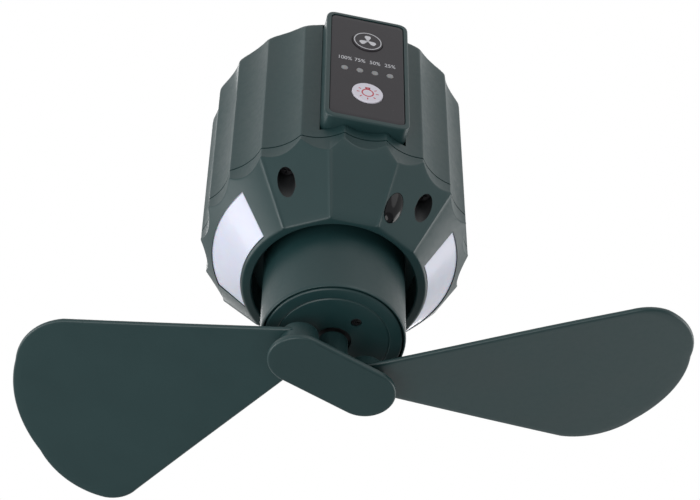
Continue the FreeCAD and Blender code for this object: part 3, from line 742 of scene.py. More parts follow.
@dataclass(frozen=True)
class Fluting:
    """Round column of hollow flutes with narrow rounded ridges."""

    ridge: float = 55.0
    valley: float = 52.6
    count: int = 20
    ridge_round: float = 0.8
    shoulder_drop: float = 0.35

    @property
    def pitch(self) -> float:
        """Angle from ridge to ridge, in degrees."""
        return 360.0 / self.count

    @property
    def soft(self) -> float:
        """Half the angle of a rounded ridge, in degrees."""
        return math.degrees(self.ridge_round / self.ridge)

    def angles(self, extra: Sequence[float] = ()) -> Array:
        """Column directions: even steps in each hollow, finer ones on its ridge."""
        edge = self.pitch / 2 - self.soft
        hollow = np.linspace(-edge, edge, 15)
        ridge = self.pitch / 2 + self.soft * np.array([-0.5, 0.0, 0.5])
        one = np.concatenate([hollow, ridge])
        every = (one[None, :] + self.pitch * np.arange(self.count)[:, None]).ravel()
        return np.unique(np.round(np.concatenate([every, np.array(extra)]) % 360.0, 4))

    def radius(self, angles: Array) -> Array:
        """Outer radius in each direction.

        In a hollow the radius is where the ray meets a circle of radius q whose centre is d from the
        axis: d cos a - sqrt(q^2 - d^2 sin^2 a). On a ridge it is the ridge less a parabola.
        """
        turn = (angles + self.pitch / 2) % self.pitch - self.pitch / 2
        edge = math.radians(self.pitch / 2 - self.soft)
        shoulder = self.ridge - self.shoulder_drop
        chord, depth = shoulder * math.sin(edge), shoulder * math.cos(edge) - self.valley
        bend = (chord ** 2 + depth ** 2) / (2 * depth)
        centre = self.valley + bend
        inside = np.clip(bend ** 2 - (centre * np.sin(np.radians(turn))) ** 2, 0, None)
        hollow = centre * np.cos(np.radians(turn)) - np.sqrt(inside)
        away = (self.pitch / 2 - np.abs(turn)) / self.soft
        return np.where(away < 1, self.ridge - self.shoulder_drop * away ** 2, hollow)


@dataclass
class Housing(Assembly):
    """Fluted shell with its top plate, hanging loop and lugs."""

    flutes: Fluting = field(default_factory=Fluting)
    foot: float = -86.35
    top: float = -5.0
    top_round: float = 5.0
    inner: float = 49.0
    mouth: float = 45.0
    plateau: float = 36.0
    wire: float = 1.6
    loop: float = 38.6
    loop_level: float = -3.1
    loop_bend: float = 3.0
    lug_reach: float = 48.6
    lug_foot: float = 43.0
    lug_half: float = 3.0
    lug_top: float = -0.2
    lug_bore: float = 1.65
    lug_round: float = 0.5
    boss_spots: tuple[Corner, ...] = tuple(facing(46.3, turn) for turn in (-37.0, 37.0, 143.0, 217.0))

    def shell_mesh(self) -> bpy.types.Mesh:
        """Fluted wall whose top edge rolls over.

        The radius is the smooth minimum of the fluting and of a quarter circle at the top edge,
        -ln(exp(-k a) + exp(-k b)) / k, and the loop of rows goes on round the rim and down inside.
        """
        angles = self.flutes.angles()
        wall = self.flutes.radius(angles)[None, :]
        bend = np.linspace(0, np.pi / 2, 11)[:, None]
        rolled = self.flutes.ridge - self.top_round * (1 - np.cos(bend))
        stiff = 6.0
        roll = -np.logaddexp(-stiff * (wall - 50), -stiff * (rolled - 50)) / stiff + 50
        rows = [(wall, self.foot), (wall, self.foot + 0.4)]
        rows += [(wall, level) for level in np.linspace(self.foot + 10, self.top - self.top_round - 1.5, 8)]
        rows += [(roll[[index]], self.top - self.top_round * (1 - math.sin(bend[index, 0])))
                 for index in range(11)]
        inside = [(self.mouth + 0.4, self.top), (self.mouth, self.top - 0.4), (self.mouth, self.top - 3),
                  (self.inner, self.top - 3), (self.inner, self.foot)]
        rows += inside
        radius = np.concatenate([np.broadcast_to(item, wall.shape) for item, _ in rows])
        level = np.concatenate([np.full(wall.shape, item) for _, item in rows])
        wall_mesh = surface("shell_wall", ring_points(angles, radius, level), close_rows=True)
        cutters = [box("panel_slot", (-17.75, -60, -81.45), (17.75, -40, -5.85), 0.05),
                   box("port_slot", (-5, 44, -58.2), (5, 60, -54), 0.05)]
        return carve(wall_mesh, cutters)

    def boss_mesh(self, spot: Corner) -> bpy.types.Mesh:
        """Screw tower inside the shell."""
        corners = [(1.5, self.foot), (4.0, self.foot), (4.0, self.foot + 20), (0.0, self.foot + 20),
                   (0.0, self.foot + 11), (1.5, self.foot + 11)]
        return lathe("screw_tower", rounded(corners, 0.3), 32, spot)

    def lug_mesh(self, sign: float) -> bpy.types.Mesh:
        """Eye that holds one end of the loop.

        B is the bore's point in the direction of an outline point P, and a profile point of share
        u lies at B + u (P - B).
        """
        near, far = sorted((sign * self.lug_foot, sign * self.lug_reach))
        half, low, high = self.lug_half, self.top, self.lug_top
        bends = rounded([(-half, low), (half, low), (half, high), (-half, high)], self.lug_round)
        outline = np.concatenate([line(start, end, 8) for start, end in zip(bends, np.roll(bends, -1, 0))])
        middle = np.array((0.0, self.loop_level))
        away = outline - middle
        bore = middle + self.lug_bore * away / np.linalg.norm(away, axis=1, keepdims=True)
        profile = rounded([(0.0, near), (1.0, near), (1.0, far), (0.0, far)], 0.15)
        share, depth = profile[:, :1], profile[:, 1:]
        flat = bore + (outline - bore) * share[..., None]
        level = depth + 0 * flat[..., 0]
        return surface("lug", facing_front(np.concatenate([flat, level[..., None]], -1)), close_rows=True,
                       edge=Edge.SOFT)

    def loop_mesh(self) -> bpy.types.Mesh:
        """Half ring of wire whose ends turn out into the lugs: a circle carried along a path."""
        reach, bend, radius = self.lug_reach - 0.6, self.loop_bend, self.loop
        slack = bend * (1 - math.sqrt(0.5))
        first = line((0.0, -reach), (0.0, -radius - bend), 5)
        turn_in = arc((0.0, -radius - bend), (slack, -radius - slack), (bend, -radius), 6)
        sweep = arc((bend, -radius), (bend + radius, 0.0), (bend, radius), 72)
        turn_out = turn_in[1:] * (1, -1)
        last = line((0.0, radius + bend), (0.0, reach + 0.001), 5)
        path = np.concatenate([first, turn_in, sweep, [(bend, radius)], turn_out[::-1], last, [(0.0, reach)]])
        ahead = np.gradient(path, axis=0)
        ahead /= np.linalg.norm(ahead, axis=1, keepdims=True)
        side = np.stack([-ahead[:, 1], ahead[:, 0]], 1)
        turn = np.linspace(0, 2 * np.pi, 24, endpoint=False)
        size = np.full(len(path), self.wire)
        path = np.concatenate([path[:1], path[:1], path, path[-1:], path[-1:]])
        side = np.concatenate([side[:1], side[:1], side, side[-1:], side[-1:]])
        size = np.concatenate([[0.0, self.wire * 0.8], size, [self.wire * 0.8, 0.0]])
        flat = path[:, None, :] + side[:, None, :] * (size[:, None] * np.cos(turn))[..., None]
        level = self.loop_level + size[:, None] * np.sin(turn)
        return surface("loop", np.concatenate([flat, level[..., None]], -1), edge=Edge.SOFT)

    def build(self) -> None:
        """Makes the shell, top plate, lugs and loop."""
        towers = [self.boss_mesh(spot) for spot in self.boss_spots]
        shell = combine(self.shell_mesh(), towers, "UNION")
        self.put("fluted_shell", shell, self.palette.shell, ["body_shell"], "shell")
        plate = [(0.0, self.top - 3), (self.mouth - 0.2, self.top - 3), (self.mouth - 0.2, self.top),
                 (self.plateau, self.top), (self.plateau, -0.6), (self.plateau - 0.6, 0.0), (0.0, 0.0)]
        top = lathe("top_plate", rounded(plate, 0.35))
        self.put("top_plate", top, self.palette.shell, ["top_cover"], "shell")
        lugs = joined("loop_lugs", [self.lug_mesh(-1.0), self.lug_mesh(1.0)])
        self.put("loop_lugs", lugs, self.palette.shell, ["bail_lugs"], "shell")
        self.put("hanging_loop", self.loop_mesh(), self.palette.steel, ["bail"], "steel", "bail")


@dataclass
class LampEnd(Assembly):
    """Faceted lower cover with its lamp windows, screw wells and sensor dome."""

    flutes: Fluting = field(default_factory=Fluting)
    seam: float = -86.65
    shoulder: float = -91.6
    lip: float = -118.0
    lip_radius: float = 36.7
    bore: float = 33.2
    facet_half: float = 15.0
    flats_half: float = 45.0
    corners: tuple[float, ...] = (-45.0, -15.0, 15.0, 45.0)
    ridge_height: float = 0.3
    ridge_width: float = 0.8
    edge_bead: float = 0.22
    window_inner: float = 37.6
    window_outer: float = 50.0
    window_half: float = 30.0
    window_thick: float = 2.0
    window_sink: float = 0.3
    well_circle: float = 46.3
    well_turns: tuple[float, ...] = (-37.0, 37.0, 143.0, 217.0)
    well_radius: float = 3.6
    well_floor: float = -93.0
    dome_spot: Corner = facing(42.0, 21.0)
    dome_radius: float = 3.7
    dome_crown: float = 2.4

    @property
    def growth(self) -> float:
        """Radius gained for each millimetre of height on the cone."""
        return (self.flutes.ridge - self.lip_radius) / (self.shoulder - self.lip)

    def slope(self, radius: Array) -> Array:
        """Level of the cone at a radius."""
        return self.lip + (radius - self.lip_radius) / self.growth

    def facets(self, angles: Array) -> Array:
        """Share of the round cone's radius in each direction: cos h / cos c on the flats, else one."""
        turn = (angles + 90.0) % 180.0 - 90.0
        pitch = 2 * self.facet_half
        off = np.radians(turn - pitch * np.round(turn / pitch))
        flat = math.cos(math.radians(self.facet_half)) / np.cos(off)
        return np.where(np.abs(turn) <= self.flats_half, flat, 1.0)

    def ridge(self, angles: Array) -> Array:
        """Height of the fine ridge along each facet corner: h exp(-(a / w)^2) for the angle a from it."""
        turn = (angles + 90.0) % 180.0 - 90.0
        away = np.min(np.abs(turn[None, :] - np.array(self.corners)[:, None]), 0)
        return self.ridge_height * np.exp(-(away / self.ridge_width) ** 2)

    def cover_mesh(self) -> bpy.types.Mesh:
        """Cone with flats that meets the fluted wall in a scalloped edge.

        In each direction the outline runs up the cone to where the cone's radius equals the
        fluting's, turns there through a small rounding, and goes up the flute.
        """
        fine = (-1.7, -1.2, -0.8, -0.45, -0.2, 0.0, 0.2, 0.45, 0.8, 1.2, 1.7)
        corners = [side + turn + step for side in (0.0, 180.0) for turn in self.corners for step in fine]
        angles = self.flutes.angles(corners)
        share, wall, ridge = self.facets(angles), self.flutes.radius(angles), self.ridge(angles)
        foot = np.stack([self.lip_radius * share + ridge, np.full_like(wall, self.lip)], -1)
        meet = np.stack([wall, self.lip + ((wall - ridge) / share - self.lip_radius) / self.growth], -1)
        meet = meet + (self.edge_bead, -self.edge_bead)
        down = (foot - meet) / np.linalg.norm(foot - meet, axis=1, keepdims=True)
        soft, lip_soft = 0.65, 0.7
        start, end = meet + down * soft, meet + (-self.edge_bead, soft)
        lip_in, lip_up = foot - (lip_soft, 0), foot - down * lip_soft
        rows = [self.bend(lip_in, foot, lip_up, t) for t in np.linspace(0, 1, 4)]
        rows += [lip_up * (1 - t) + start * t for t in np.linspace(0, 1, 11)[1:-1]]
        rows += [self.bend(start, meet, end, t) for t in np.linspace(0, 1, 6)]
        inside = [(44.0, self.seam), (44.0, self.shoulder), (41.3, self.shoulder), (41.3, -102.0),
                  (self.bore, -102.0), (self.bore, self.lip + 0.5), (self.bore + 0.5, self.lip)]
        rows.append(np.stack([wall, np.full_like(wall, self.seam - 0.3)], -1))
        rows.append(np.stack([wall - 0.3, np.full_like(wall, self.seam)], -1))
        rows += [np.broadcast_to(item, meet.shape) for item in inside]
        grid = np.stack(rows)
        outer = surface("cover", ring_points(angles, grid[..., 0], grid[..., 1]), close_rows=True)
        return carve(outer, self.cutters())

    @staticmethod
    def bend(start: Array, corner: Array, end: Array, share: float) -> Array:
        """Point of the curve (1-t)^2 A + 2t(1-t) C + t^2 B."""
        return (1 - share) ** 2 * start + 2 * share * (1 - share) * corner + share ** 2 * end

    def cutters(self) -> list[bpy.types.Mesh]:
        """Window recesses, stepped screw wells and the dome's hole."""
        low, high = self.window_inner - 0.15, self.window_outer + 0.15
        strip = [(low, self.slope(low) - 4), (high, self.slope(high) - 4), (high, self.slope(high) + 7.5),
                 (low, self.slope(low) + 7.5)]
        tools = [sector("recess", strip, turn, self.window_half + 0.2) for turn in (-90.0, 90.0)]
        well = [(0.0, -120.0), (3.6, -120.0), (3.6, self.well_floor), (1.7, self.well_floor), (1.7, -80.0),
                (0.0, -80.0)]
        tools += [lathe("well", np.array(well), 40, facing(self.well_circle, turn))
                  for turn in self.well_turns]
        wide = self.dome_radius + 0.15
        hole = [(0.0, -120.0), (wide, -120.0), (wide, -103.0), (0.0, -103.0)]
        tools.append(lathe("dome_hole", np.array(hole), 40, self.dome_spot))
        return tools

    def window_mesh(self, side: Side) -> bpy.types.Mesh:
        """Milky strip on the slope: a rounded plate whose width becomes an angle about the axis."""
        middle = (self.window_inner + self.window_outer) / 2
        wide = math.radians(self.window_half) * middle
        low, high = self.window_inner - middle, self.window_outer - middle
        outline = np.concatenate([line((-wide, low), (wide, low), 40), line((wide, low), (wide, high), 8),
                                  line((wide, high), (-wide, high), 40),
                                  line((-wide, high), (-wide, low), 8)])

        def wrap(points: Array) -> Array:
            """Places (arc, offset, depth) on the cone."""
            angle = points[..., 0] / middle + math.pi / 2 * side.value
            radius = middle + points[..., 1]
            level = self.slope(radius) + points[..., 2]
            return np.stack([radius * np.sin(angle), -radius * np.cos(angle), level], -1)

        return slab("window", outline, (0.0, 0.0), self.window_sink, self.window_sink + self.window_thick,
                    0.35, wrap)

    def dome_mesh(self) -> bpy.types.Mesh:
        """Crowned lens that fills its slanting hole.

        Its outer face is the cone's slope less a crown c (1 - (p / R)^2) at p from its axis. The
        side then runs up to a flat back.
        """
        share = np.array([0.0, 0.2, 0.4, 0.6, 0.75, 0.87, 0.95, 1.0, 1.0, 1.0, 0.0])[:, None]
        back = np.array([0.0] * 8 + [0.25, 1.0, 1.0])[:, None]
        turn = np.linspace(0, 2 * np.pi, 56, endpoint=False)[None, :]
        x = self.dome_spot[0] + self.dome_radius * share * np.cos(turn)
        y = self.dome_spot[1] + self.dome_radius * share * np.sin(turn)
        face = self.slope(np.hypot(x, y)) + 1.1 - self.dome_crown * (1 - share ** 2)
        level = face * (1 - back) + (self.lip + 14.9) * back
        return surface("dome", np.stack([x, y, level], -1), edge=Edge.SOFT)

    def paint_shade_in_wells(self, mesh: bpy.types.Mesh) -> None:
        """Gives the faces inside the screw wells the second material, black plastic that is painted shade on
        the wells' walls.
        """
        centres = np.empty(3 * len(mesh.polygons))
        mesh.polygons.foreach_get("center", centres)
        flat = centres.reshape(-1, 3)[:, :2] / MM
        axes = np.array([facing(self.well_circle, turn) for turn in self.well_turns])
        away = np.linalg.norm(flat[:, None, :] - axes[None, :, :], axis=2).min(1)
        mesh.polygons.foreach_set("material_index", (away < self.well_radius + 0.02).astype(np.int32))
        mesh.update()

    def build(self) -> None:
        """Makes the cover and what is let into it."""
        cover = self.put("faceted_cover", self.cover_mesh(), self.palette.shell, ["lower_cover"], "shell")
        # The black second material is painted shade on the walls inside the screw wells.
        cover.data.materials.append(self.palette.trim)
        self.paint_shade_in_wells(cover.data)
        for side in Side:
            name = "led_window_" + side.word
            self.put("lamp_window_" + side.word, self.window_mesh(side), self.palette.window, [name],
                     "diffuser")
        spots = [facing(self.well_circle, turn) for turn in self.well_turns]
        screws = cross_screw("well_screws", spots, self.well_floor - 1.6, 1.5, 2.9, 1.5, 12.0)
        self.put("well_screws", screws, self.palette.screw, ["cover_screws"], "screw")
        self.put("sensor_dome", self.dome_mesh(), self.palette.lens, ["ir_dome"], "gloss_dark")


@dataclass
class MotorPod(Assembly):
    """Round pod under the lamp end, with its end cap and motor screws."""

    end: float = -149.0
    radius: float = 28.6
    wall: float = 2.2
    seat: float = -102.0
    flange: float = 41.0
    cap_radius: float = 27.1
    cap_thick: float = 3.0
    ring: float = 22.0
    screw_circle: float = 13.4
    screw_turns: tuple[float, ...] = (30.0, 150.0, 270.0)

    def housing_profile(self) -> list[Corner]:
        """Pod wall with a rolled rim and a flange."""
        inner, shelf = self.radius - self.wall, self.end + self.cap_thick + 0.1
        return [(inner, shelf), (self.cap_radius + 0.7, shelf), (self.cap_radius + 0.7, self.end + 0.3),
                (self.radius - 0.35, self.end + 0.3), (self.radius, self.end + 1.3), (self.radius, self.seat),
                (self.flange, self.seat), (self.flange, self.seat + 3), (inner, self.seat + 3)]

    def cap_mesh(self) -> bpy.types.Mesh:
        """Disc with a faint ring and three counterbored holes."""
        low, high = self.end, self.end + self.cap_thick
        corners = [(7.2, low), (self.ring - 0.4, low), (self.ring, low + 0.45), (self.ring + 0.4, low),
                   (self.cap_radius - 0.5, low), (self.cap_radius, low + 0.5), (self.cap_radius, high),
                   (7.2, high)]
        disc = lathe("cap", rounded(corners, 0.25, 4))
        tools = []
        for turn in self.screw_turns:
            hole = [(0.0, low - 1), (2.15, low - 1), (2.15, low + 1.4), (1.15, low + 1.4), (1.15, high + 1),
                    (0.0, high + 1)]
            tools.append(lathe("cap_hole", np.array(hole), 36, facing(self.screw_circle, turn)))
        return carve(disc, tools)

    def build(self) -> None:
        """Makes the pod, its cap and the screws."""
        pod = lathe("pod", rounded(self.housing_profile(), 0.4), 160)
        self.put("motor_pod", pod, self.palette.shell, ["pod_housing"], "shell")
        self.put("pod_cap", self.cap_mesh(), self.palette.shell, ["pod_end_cap"], "shell")
        spots = [facing(self.screw_circle, turn) for turn in self.screw_turns]
        screws = cross_screw("cap_screws", spots, self.end + 0.4, 1.0, 2.0, 1.1, 4.1)
        self.put("cap_screws", screws, self.palette.screw, ["motor_screws"], "screw")


@dataclass
class Panel(Assembly):
    """Raised control panel: frame, smoked lens, two keys, four dots and the print."""

    face: float = -57.6
    back: float = -46.5
    half: float = 17.6
    top: float = -6.0
    foot: float = -81.3
    lens_half: float = 15.5
    lens_top: float = -8.2
    lens_foot: float = -78.9
    lens_thick: float = 1.6
    key_radius: float = 6.5
    fan_level: float = -24.4
    lamp_level: float = -61.4
    dot_level: float = -45.9
    dot_radius: float = 1.5
    dot_pitch: float = 6.4
    word_level: float = -39.9
    word_size: float = 3.3

    def plate(self, name: str, half: float, low: float, high: float, front: float, back: float, corner: float,
              soft: float) -> bpy.types.Mesh:
        """Upright plate with rounded corners and rims."""
        outline = rounded([(-half, low), (half, low), (half, high), (-half, high)], corner, 9)
        return slab(name, outline, (0.0, (low + high) / 2), front, back, soft, facing_front)

    def post(self, name: str, radius: float, level: float, front: float, back: float, x: float = 0.0,
             soft: float = 0.05) -> bpy.types.Mesh:
        """Round post that runs along Y."""
        turn = np.linspace(0, 2 * np.pi, 64, endpoint=False)
        outline = np.stack([x + radius * np.cos(turn), level + radius * np.sin(turn)], 1)
        return slab(name, outline, (x, level), front, back, soft, facing_front)

    def frame_mesh(self) -> bpy.types.Mesh:
        """Frame with a seat for the lens and a hollow behind it."""
        block = self.plate("frame", self.half, self.foot, self.top, self.face, self.back, 4.6, 0.8)
        seat = self.plate("seat", self.lens_half + 0.2, self.lens_foot - 0.2, self.lens_top + 0.2,
                          self.face - 1,
                          self.face + 2, 2.9, 0.02)
        hollow = self.plate("hollow", self.lens_half - 1.5, self.lens_foot + 1.5, self.lens_top - 1.5,
                            self.face + 1, self.back + 1, 1.0, 0.02)
        return carve(block, [combine(seat, [hollow], "UNION")])

    def lens_mesh(self) -> bpy.types.Mesh:
        """Lens with its holes."""
        front = self.face + 0.3
        plate = self.plate("lens", self.lens_half, self.lens_foot, self.lens_top, front,
                           front + self.lens_thick,
                           2.8, 0.25)
        tools = [self.post("key_hole", self.key_radius + 0.25, level, -62, -50)
                 for level in (self.fan_level, self.lamp_level)]
        tools += [self.post("dot_hole", self.dot_radius + 0.05, self.dot_level, -62, -50, x)
                  for x in self.dots()]
        return carve(plate, tools)

    def dots(self) -> list[float]:
        """Sideways places of the battery dots."""
        return [step * self.dot_pitch for step in (-1.5, -0.5, 0.5, 1.5)]

    def key_mesh(self, level: float) -> bpy.types.Mesh:
        """Round key with a rolled rim, on its stem."""
        cap = self.post("key", self.key_radius, level, self.face - 0.3, self.face + 2.2, 0.0, 0.4)
        stem = self.post("stem", 2.0, level, self.face + 2.0, self.face + 5.2)
        return combine(cap, [stem], "UNION")

    def print_mesh(self, shapes: Sequence[tuple[Array, Corner]], front: float) -> bpy.types.Mesh:
        """Raised print from outlines, each with a centre that sees it all."""
        lift = 0.04
        plates = [slab("print", outline, centre, front - lift, front + lift, 0.02, facing_front)
                  for outline, centre in shapes]
        return joined("print", plates)

    @staticmethod
    def stroke(start: Corner, end: Corner, wide: float) -> tuple[Array, Corner]:
        """Straight line with a width."""
        (ax, ay), (bx, by) = start, end
        length = math.hypot(bx - ax, by - ay)
        nx, ny = -(by - ay) / length * wide / 2, (bx - ax) / length * wide / 2
        corners = [(ax - nx, ay - ny), (bx - nx, by - ny), (bx + nx, by + ny), (ax + nx, ay + ny)]
        return rounded(corners, wide / 2.2, 4), ((ax + bx) / 2, (ay + by) / 2)

    def band(self, centre: Corner, inner: float, outer: float, first: float,
             last: float) -> list[tuple[Array, Corner]]:
        """Part of a ring, cut into short plates so that each is seen from its own centre."""
        steps = max(2, round(abs(last - first) / 12))
        marks = np.linspace(first, last, steps + 1)
        shapes = []
        for low, high in zip(marks[:-1], marks[1:]):
            turn = np.radians([low - 0.4, high + 0.4])
            corners = [(centre[0] + r * math.cos(a), centre[1] + r * math.sin(a))
                       for r, a in ((inner, turn[0]), (outer, turn[0]), (outer, turn[1]), (inner, turn[1]))]
            middle = np.mean(corners, 0)
            shapes.append((rounded(corners, 0.02, 3), (float(middle[0]), float(middle[1]))))
        return shapes

    def fan_icon(self) -> list[tuple[Array, Corner]]:
        """Ring round a three-bladed fan: each blade is a petal that widens outwards."""
        centre = (0.0, self.fan_level)
        shapes = self.band(centre, 5.55, 5.95, 0.0, 360.0)
        petal = rounded([(0.3, -0.3), (2.7, -1.45), (3.75, -1.0), (3.75, 1.0), (2.7, 1.45), (0.3, 0.3)],
                        0.7, 4)
        for turn in (90.0, 210.0, 330.0):
            angle = math.radians(turn)
            ahead = np.array([math.cos(angle), math.sin(angle)])
            aside = np.array([-math.sin(angle), math.cos(angle)])
            outline = centre + petal[:, :1] * ahead + petal[:, 1:] * aside
            middle = outline.mean(0)
            shapes.append((outline, (float(middle[0]), float(middle[1]))))
        boss = np.linspace(0, 2 * np.pi, 24, endpoint=False)
        shapes.append((np.stack([0.62 * np.cos(boss), self.fan_level + 0.62 * np.sin(boss)], 1), centre))
        return shapes

    def bulb_icon(self) -> list[tuple[Array, Corner]]:
        """Hanging bulb with its cap above it and seven rays."""
        centre = (0.0, self.lamp_level - 0.3)
        shapes = self.band(centre, 2.05, 2.6, 0.0, 360.0)
        cap = centre[1] + 2.75
        for sign in (-1.0, 1.0):
            shapes.append(self.stroke((sign * 0.85, cap - 0.3), (sign * 0.85, cap + 0.9), 0.4))
        for step in range(3):
            shapes.append(self.stroke((-1.0, cap + 0.45 * step), (1.0, cap + 0.45 * step), 0.3))
        for turn in (35, 0, -45, -90, -135, 180, 145):
            way = (math.cos(math.radians(turn)), math.sin(math.radians(turn)))
            shapes.append(self.stroke((centre[0] + 3.4 * way[0], centre[1] + 3.4 * way[1]),
                                      (centre[0] + 4.6 * way[0], centre[1] + 4.6 * way[1]), 0.45))
        return shapes

    def words_mesh(self) -> bpy.types.Mesh:
        """Charge levels over the dots, made a mesh and then put in place."""
        labels = []
        for text, x in zip(("100%", "75%", "50%", "25%"), self.dots()):
            curve = bpy.data.curves.new("level", "FONT")
            curve.body = text
            curve.size = self.word_size * MM
            curve.align_x = "CENTER"
            curve.extrude = 0.04 * MM
            curve.space_character = 0.98
            holder = bpy.data.objects.new("level", curve)
            bpy.context.scene.collection.objects.link(holder)
            bpy.context.view_layer.update()
            shape = holder.evaluated_get(bpy.context.evaluated_depsgraph_get())
            mesh = bpy.data.meshes.new_from_object(shape)
            bpy.data.objects.remove(holder)
            upright = Matrix.Rotation(math.pi / 2, 4, "X")
            spot = Matrix.Translation(Vector((x, self.face + 0.3, self.word_level)) * MM)
            mesh.transform(spot @ upright @ Matrix.Diagonal((0.86, 1.0, 1.0, 1.0)))
            labels.append(mesh)
        return joined("words", labels)

    def build(self) -> None:
        """Makes the panel and its print."""
        self.put("panel_rim", self.frame_mesh(), self.palette.shell, ["panel_frame"], "shell")
        self.put("panel_glass", self.lens_mesh(), self.palette.screen, ["panel_lens"], "gloss_dark")
        dots = [self.post("dot", self.dot_radius, self.dot_level, self.face + 0.2, self.face + 2.6, x, 0.2)
                for x in self.dots()]
        self.put("charge_dots", joined("dots", dots), self.palette.dot, ["battery_dots"], "diffuser")
        keys = (("fan", self.fan_level, self.palette.screen, "gloss_dark", self.fan_icon(),
                 self.palette.white_ink),
                ("lamp", self.lamp_level, self.palette.key, "white_key", self.bulb_icon(),
                 self.palette.red_ink))
        for word, level, finish, slot, shapes, ink in keys:
            body = word + "_button"
            self.put(word + "_key", self.key_mesh(level), finish, [body], slot, body)
            self.put(word + "_icon", self.print_mesh(shapes, self.face - 0.3), ink, body=body)
        self.put("charge_words", self.words_mesh(), self.palette.white_ink)


@dataclass
class Rotor(Assembly):
    """Oblong hub with its boss and posts, the pivot screws and both folding blades."""

    body: str = "rotor"
    turn: float = 21.5
    offset: float = 15.3
    end: float = 12.0
    face: float = -169.8
    thick: float = 2.8
    boss: float = 6.0
    post: float = 3.0
    shaft: float = 1.5
    pod_end: float = -149.0
    barrel: float = 7.6
    barrel_foot: float = -166.7
    barrel_top: float = -155.6
    play: float = 0.05
    level: float = -160.0
    blade_thick: float = 2.0
    camber: float = 0.7
    camber_run: float = 70.0
    tip_rise: float = 0.6
    camber_middle: float = -30.0
    camber_half: float = 42.0
    lean: tuple[float, float] = (0.14, 0.15)
    rest: tuple[float, float] = (-42.1, -10.9)

    def spot(self, side: Side) -> Corner:
        """Axis of a folding pin."""
        angle = math.radians(self.turn)
        return side.value * self.offset * math.cos(angle), side.value * self.offset * math.sin(angle)

    def hub_mesh(self) -> bpy.types.Mesh:
        """Oblong plate with rolled rims, fused to its boss and posts."""
        reach, end = self.offset, self.end
        outline = np.concatenate([line((-reach, -end), (reach, -end), 8),
                                  arc((reach, -end), (reach + end, 0.0), (reach, end), 40),
                                  line((reach, end), (-reach, end), 8),
                                  arc((-reach, end), (-reach - end, 0.0), (-reach, -end), 40)])
        top = self.face + self.thick
        plate = slab("hub", outline, (0.0, 0.0), self.face, top, 0.9, spun(self.turn))
        stem = [(0.0, top - 0.5), (self.boss + 1, top - 0.5), (self.boss, top + 1.5),
                (self.boss, self.pod_end - 0.8),
                (0.0, self.pod_end - 0.8)]
        posts = [(0.0, top - 0.5), (self.post, top - 0.5), (self.post, self.barrel_top + 0.1),
                 (0.0, self.barrel_top + 0.1)]
        parts = [lathe("boss", np.array(stem), 64)]
        parts += [lathe("post", np.array(posts), 48, self.spot(side)) for side in Side]
        shaft = [(0.0, self.face + 1.6), (self.shaft, self.face + 1.6), (self.shaft, -140.0), (0.0, -140.0)]
        screw = [(0.0, self.barrel_top - 6), (1.25, self.barrel_top - 6), (1.25, -150.0), (0.0, -150.0)]
        holes = [lathe("shaft_hole", np.array(shaft), 32)]
        holes += [lathe("screw_hole", np.array(screw), 24, self.spot(side)) for side in Side]
        return carve(combine(plate, parts, "UNION"), holes)

    def outline(self) -> Array:
        """Paddle outline in the blade's own plane, with its root edge inside the barrel's wall."""
        root = self.barrel
        start, crown, nose, tip = (0.0, root), (93.0, 11.5), (117.0, -8.0), (116.0, -53.0)
        toe, heel, low = (92.0, -76.3), (78.0, -72.0), (-4.9, -5.8)
        parts = [line(start, crown, 24), arc(crown, (108.5, 5.0), nose, 16),
                 arc(nose, (121.5, -27.0), tip, 24),
                 arc(tip, (107.5, -67.5), toe, 16), arc(toe, (84.5, -75.8), heel, 8), line(heel, low, 24),
                 arc(low, (4.7, -1.72), start, 16)]
        return np.concatenate(parts)[::-1]

    def blade_mesh(self, side: Side) -> bpy.types.Mesh:
        """Pitched plate with rolled rims, let into the barrel that turns on its post.

        The plate has a slight camber c s (1 - v^2), where v runs across it and s rises from nought at
        the root, and its tip rises with the square of the distance from the pin. Its plane is turned
        from level to the blade's lean, and then about the folding pin to its place at rest.
        """
        normal = Vector((-self.lean[0], -self.lean[1], 1.0))
        tilt = np.array(Vector((0, 0, 1)).rotation_difference(normal).to_matrix())
        outward = self.turn + (0.0 if side is Side.RIGHT else 180.0)
        place = spun(outward + self.rest[side is Side.RIGHT], self.spot(side))

        def lean(points: Array) -> Array:
            """Cambers and leans the plate and sets it on its pin."""
            reach = np.clip(points[..., 0] / self.camber_run, 0, 1)
            across = (points[..., 1] - self.camber_middle) / self.camber_half
            lift = self.camber * reach * reach * (3 - 2 * reach) * np.clip(1 - across ** 2, -1, 1)
            lift = lift + self.tip_rise * (points[..., 0] / self.camber_run) ** 2
            curved = points + np.stack([0 * lift, 0 * lift, lift], -1)
            return place(curved @ tilt.T + (0, 0, self.level - self.blade_thick / 2))

        plate = slab("paddle", self.outline(), (60.0, -25.0), 0.0, self.blade_thick, 0.95, lean)
        bore = self.post + self.play
        tube = [(bore, self.barrel_foot), (self.barrel, self.barrel_foot), (self.barrel, self.barrel_top),
                (bore, self.barrel_top)]
        barrel = lathe("barrel", rounded(tube, 0.45), 72, self.spot(side))
        return joined("blade", [barrel, plate])

    def build(self) -> None:
        """Makes the hub, its screws and the blades."""
        self.put("rotor_plate", self.hub_mesh(), self.palette.blade, ["rotor_hub"], "shell")
        top = self.barrel_top + 1.9
        screws = cross_screw("pin_screws", [self.spot(side) for side in Side], top, -1.8, 5.0, 1.25, 6.0)
        self.put("pin_screws", screws, self.palette.screw, ["pivot_screws"], "screw")
        for side in Side:
            body = "blade_" + side.word
            self.put("paddle_" + side.word, self.blade_mesh(side), self.palette.blade, [body], "shell", body)


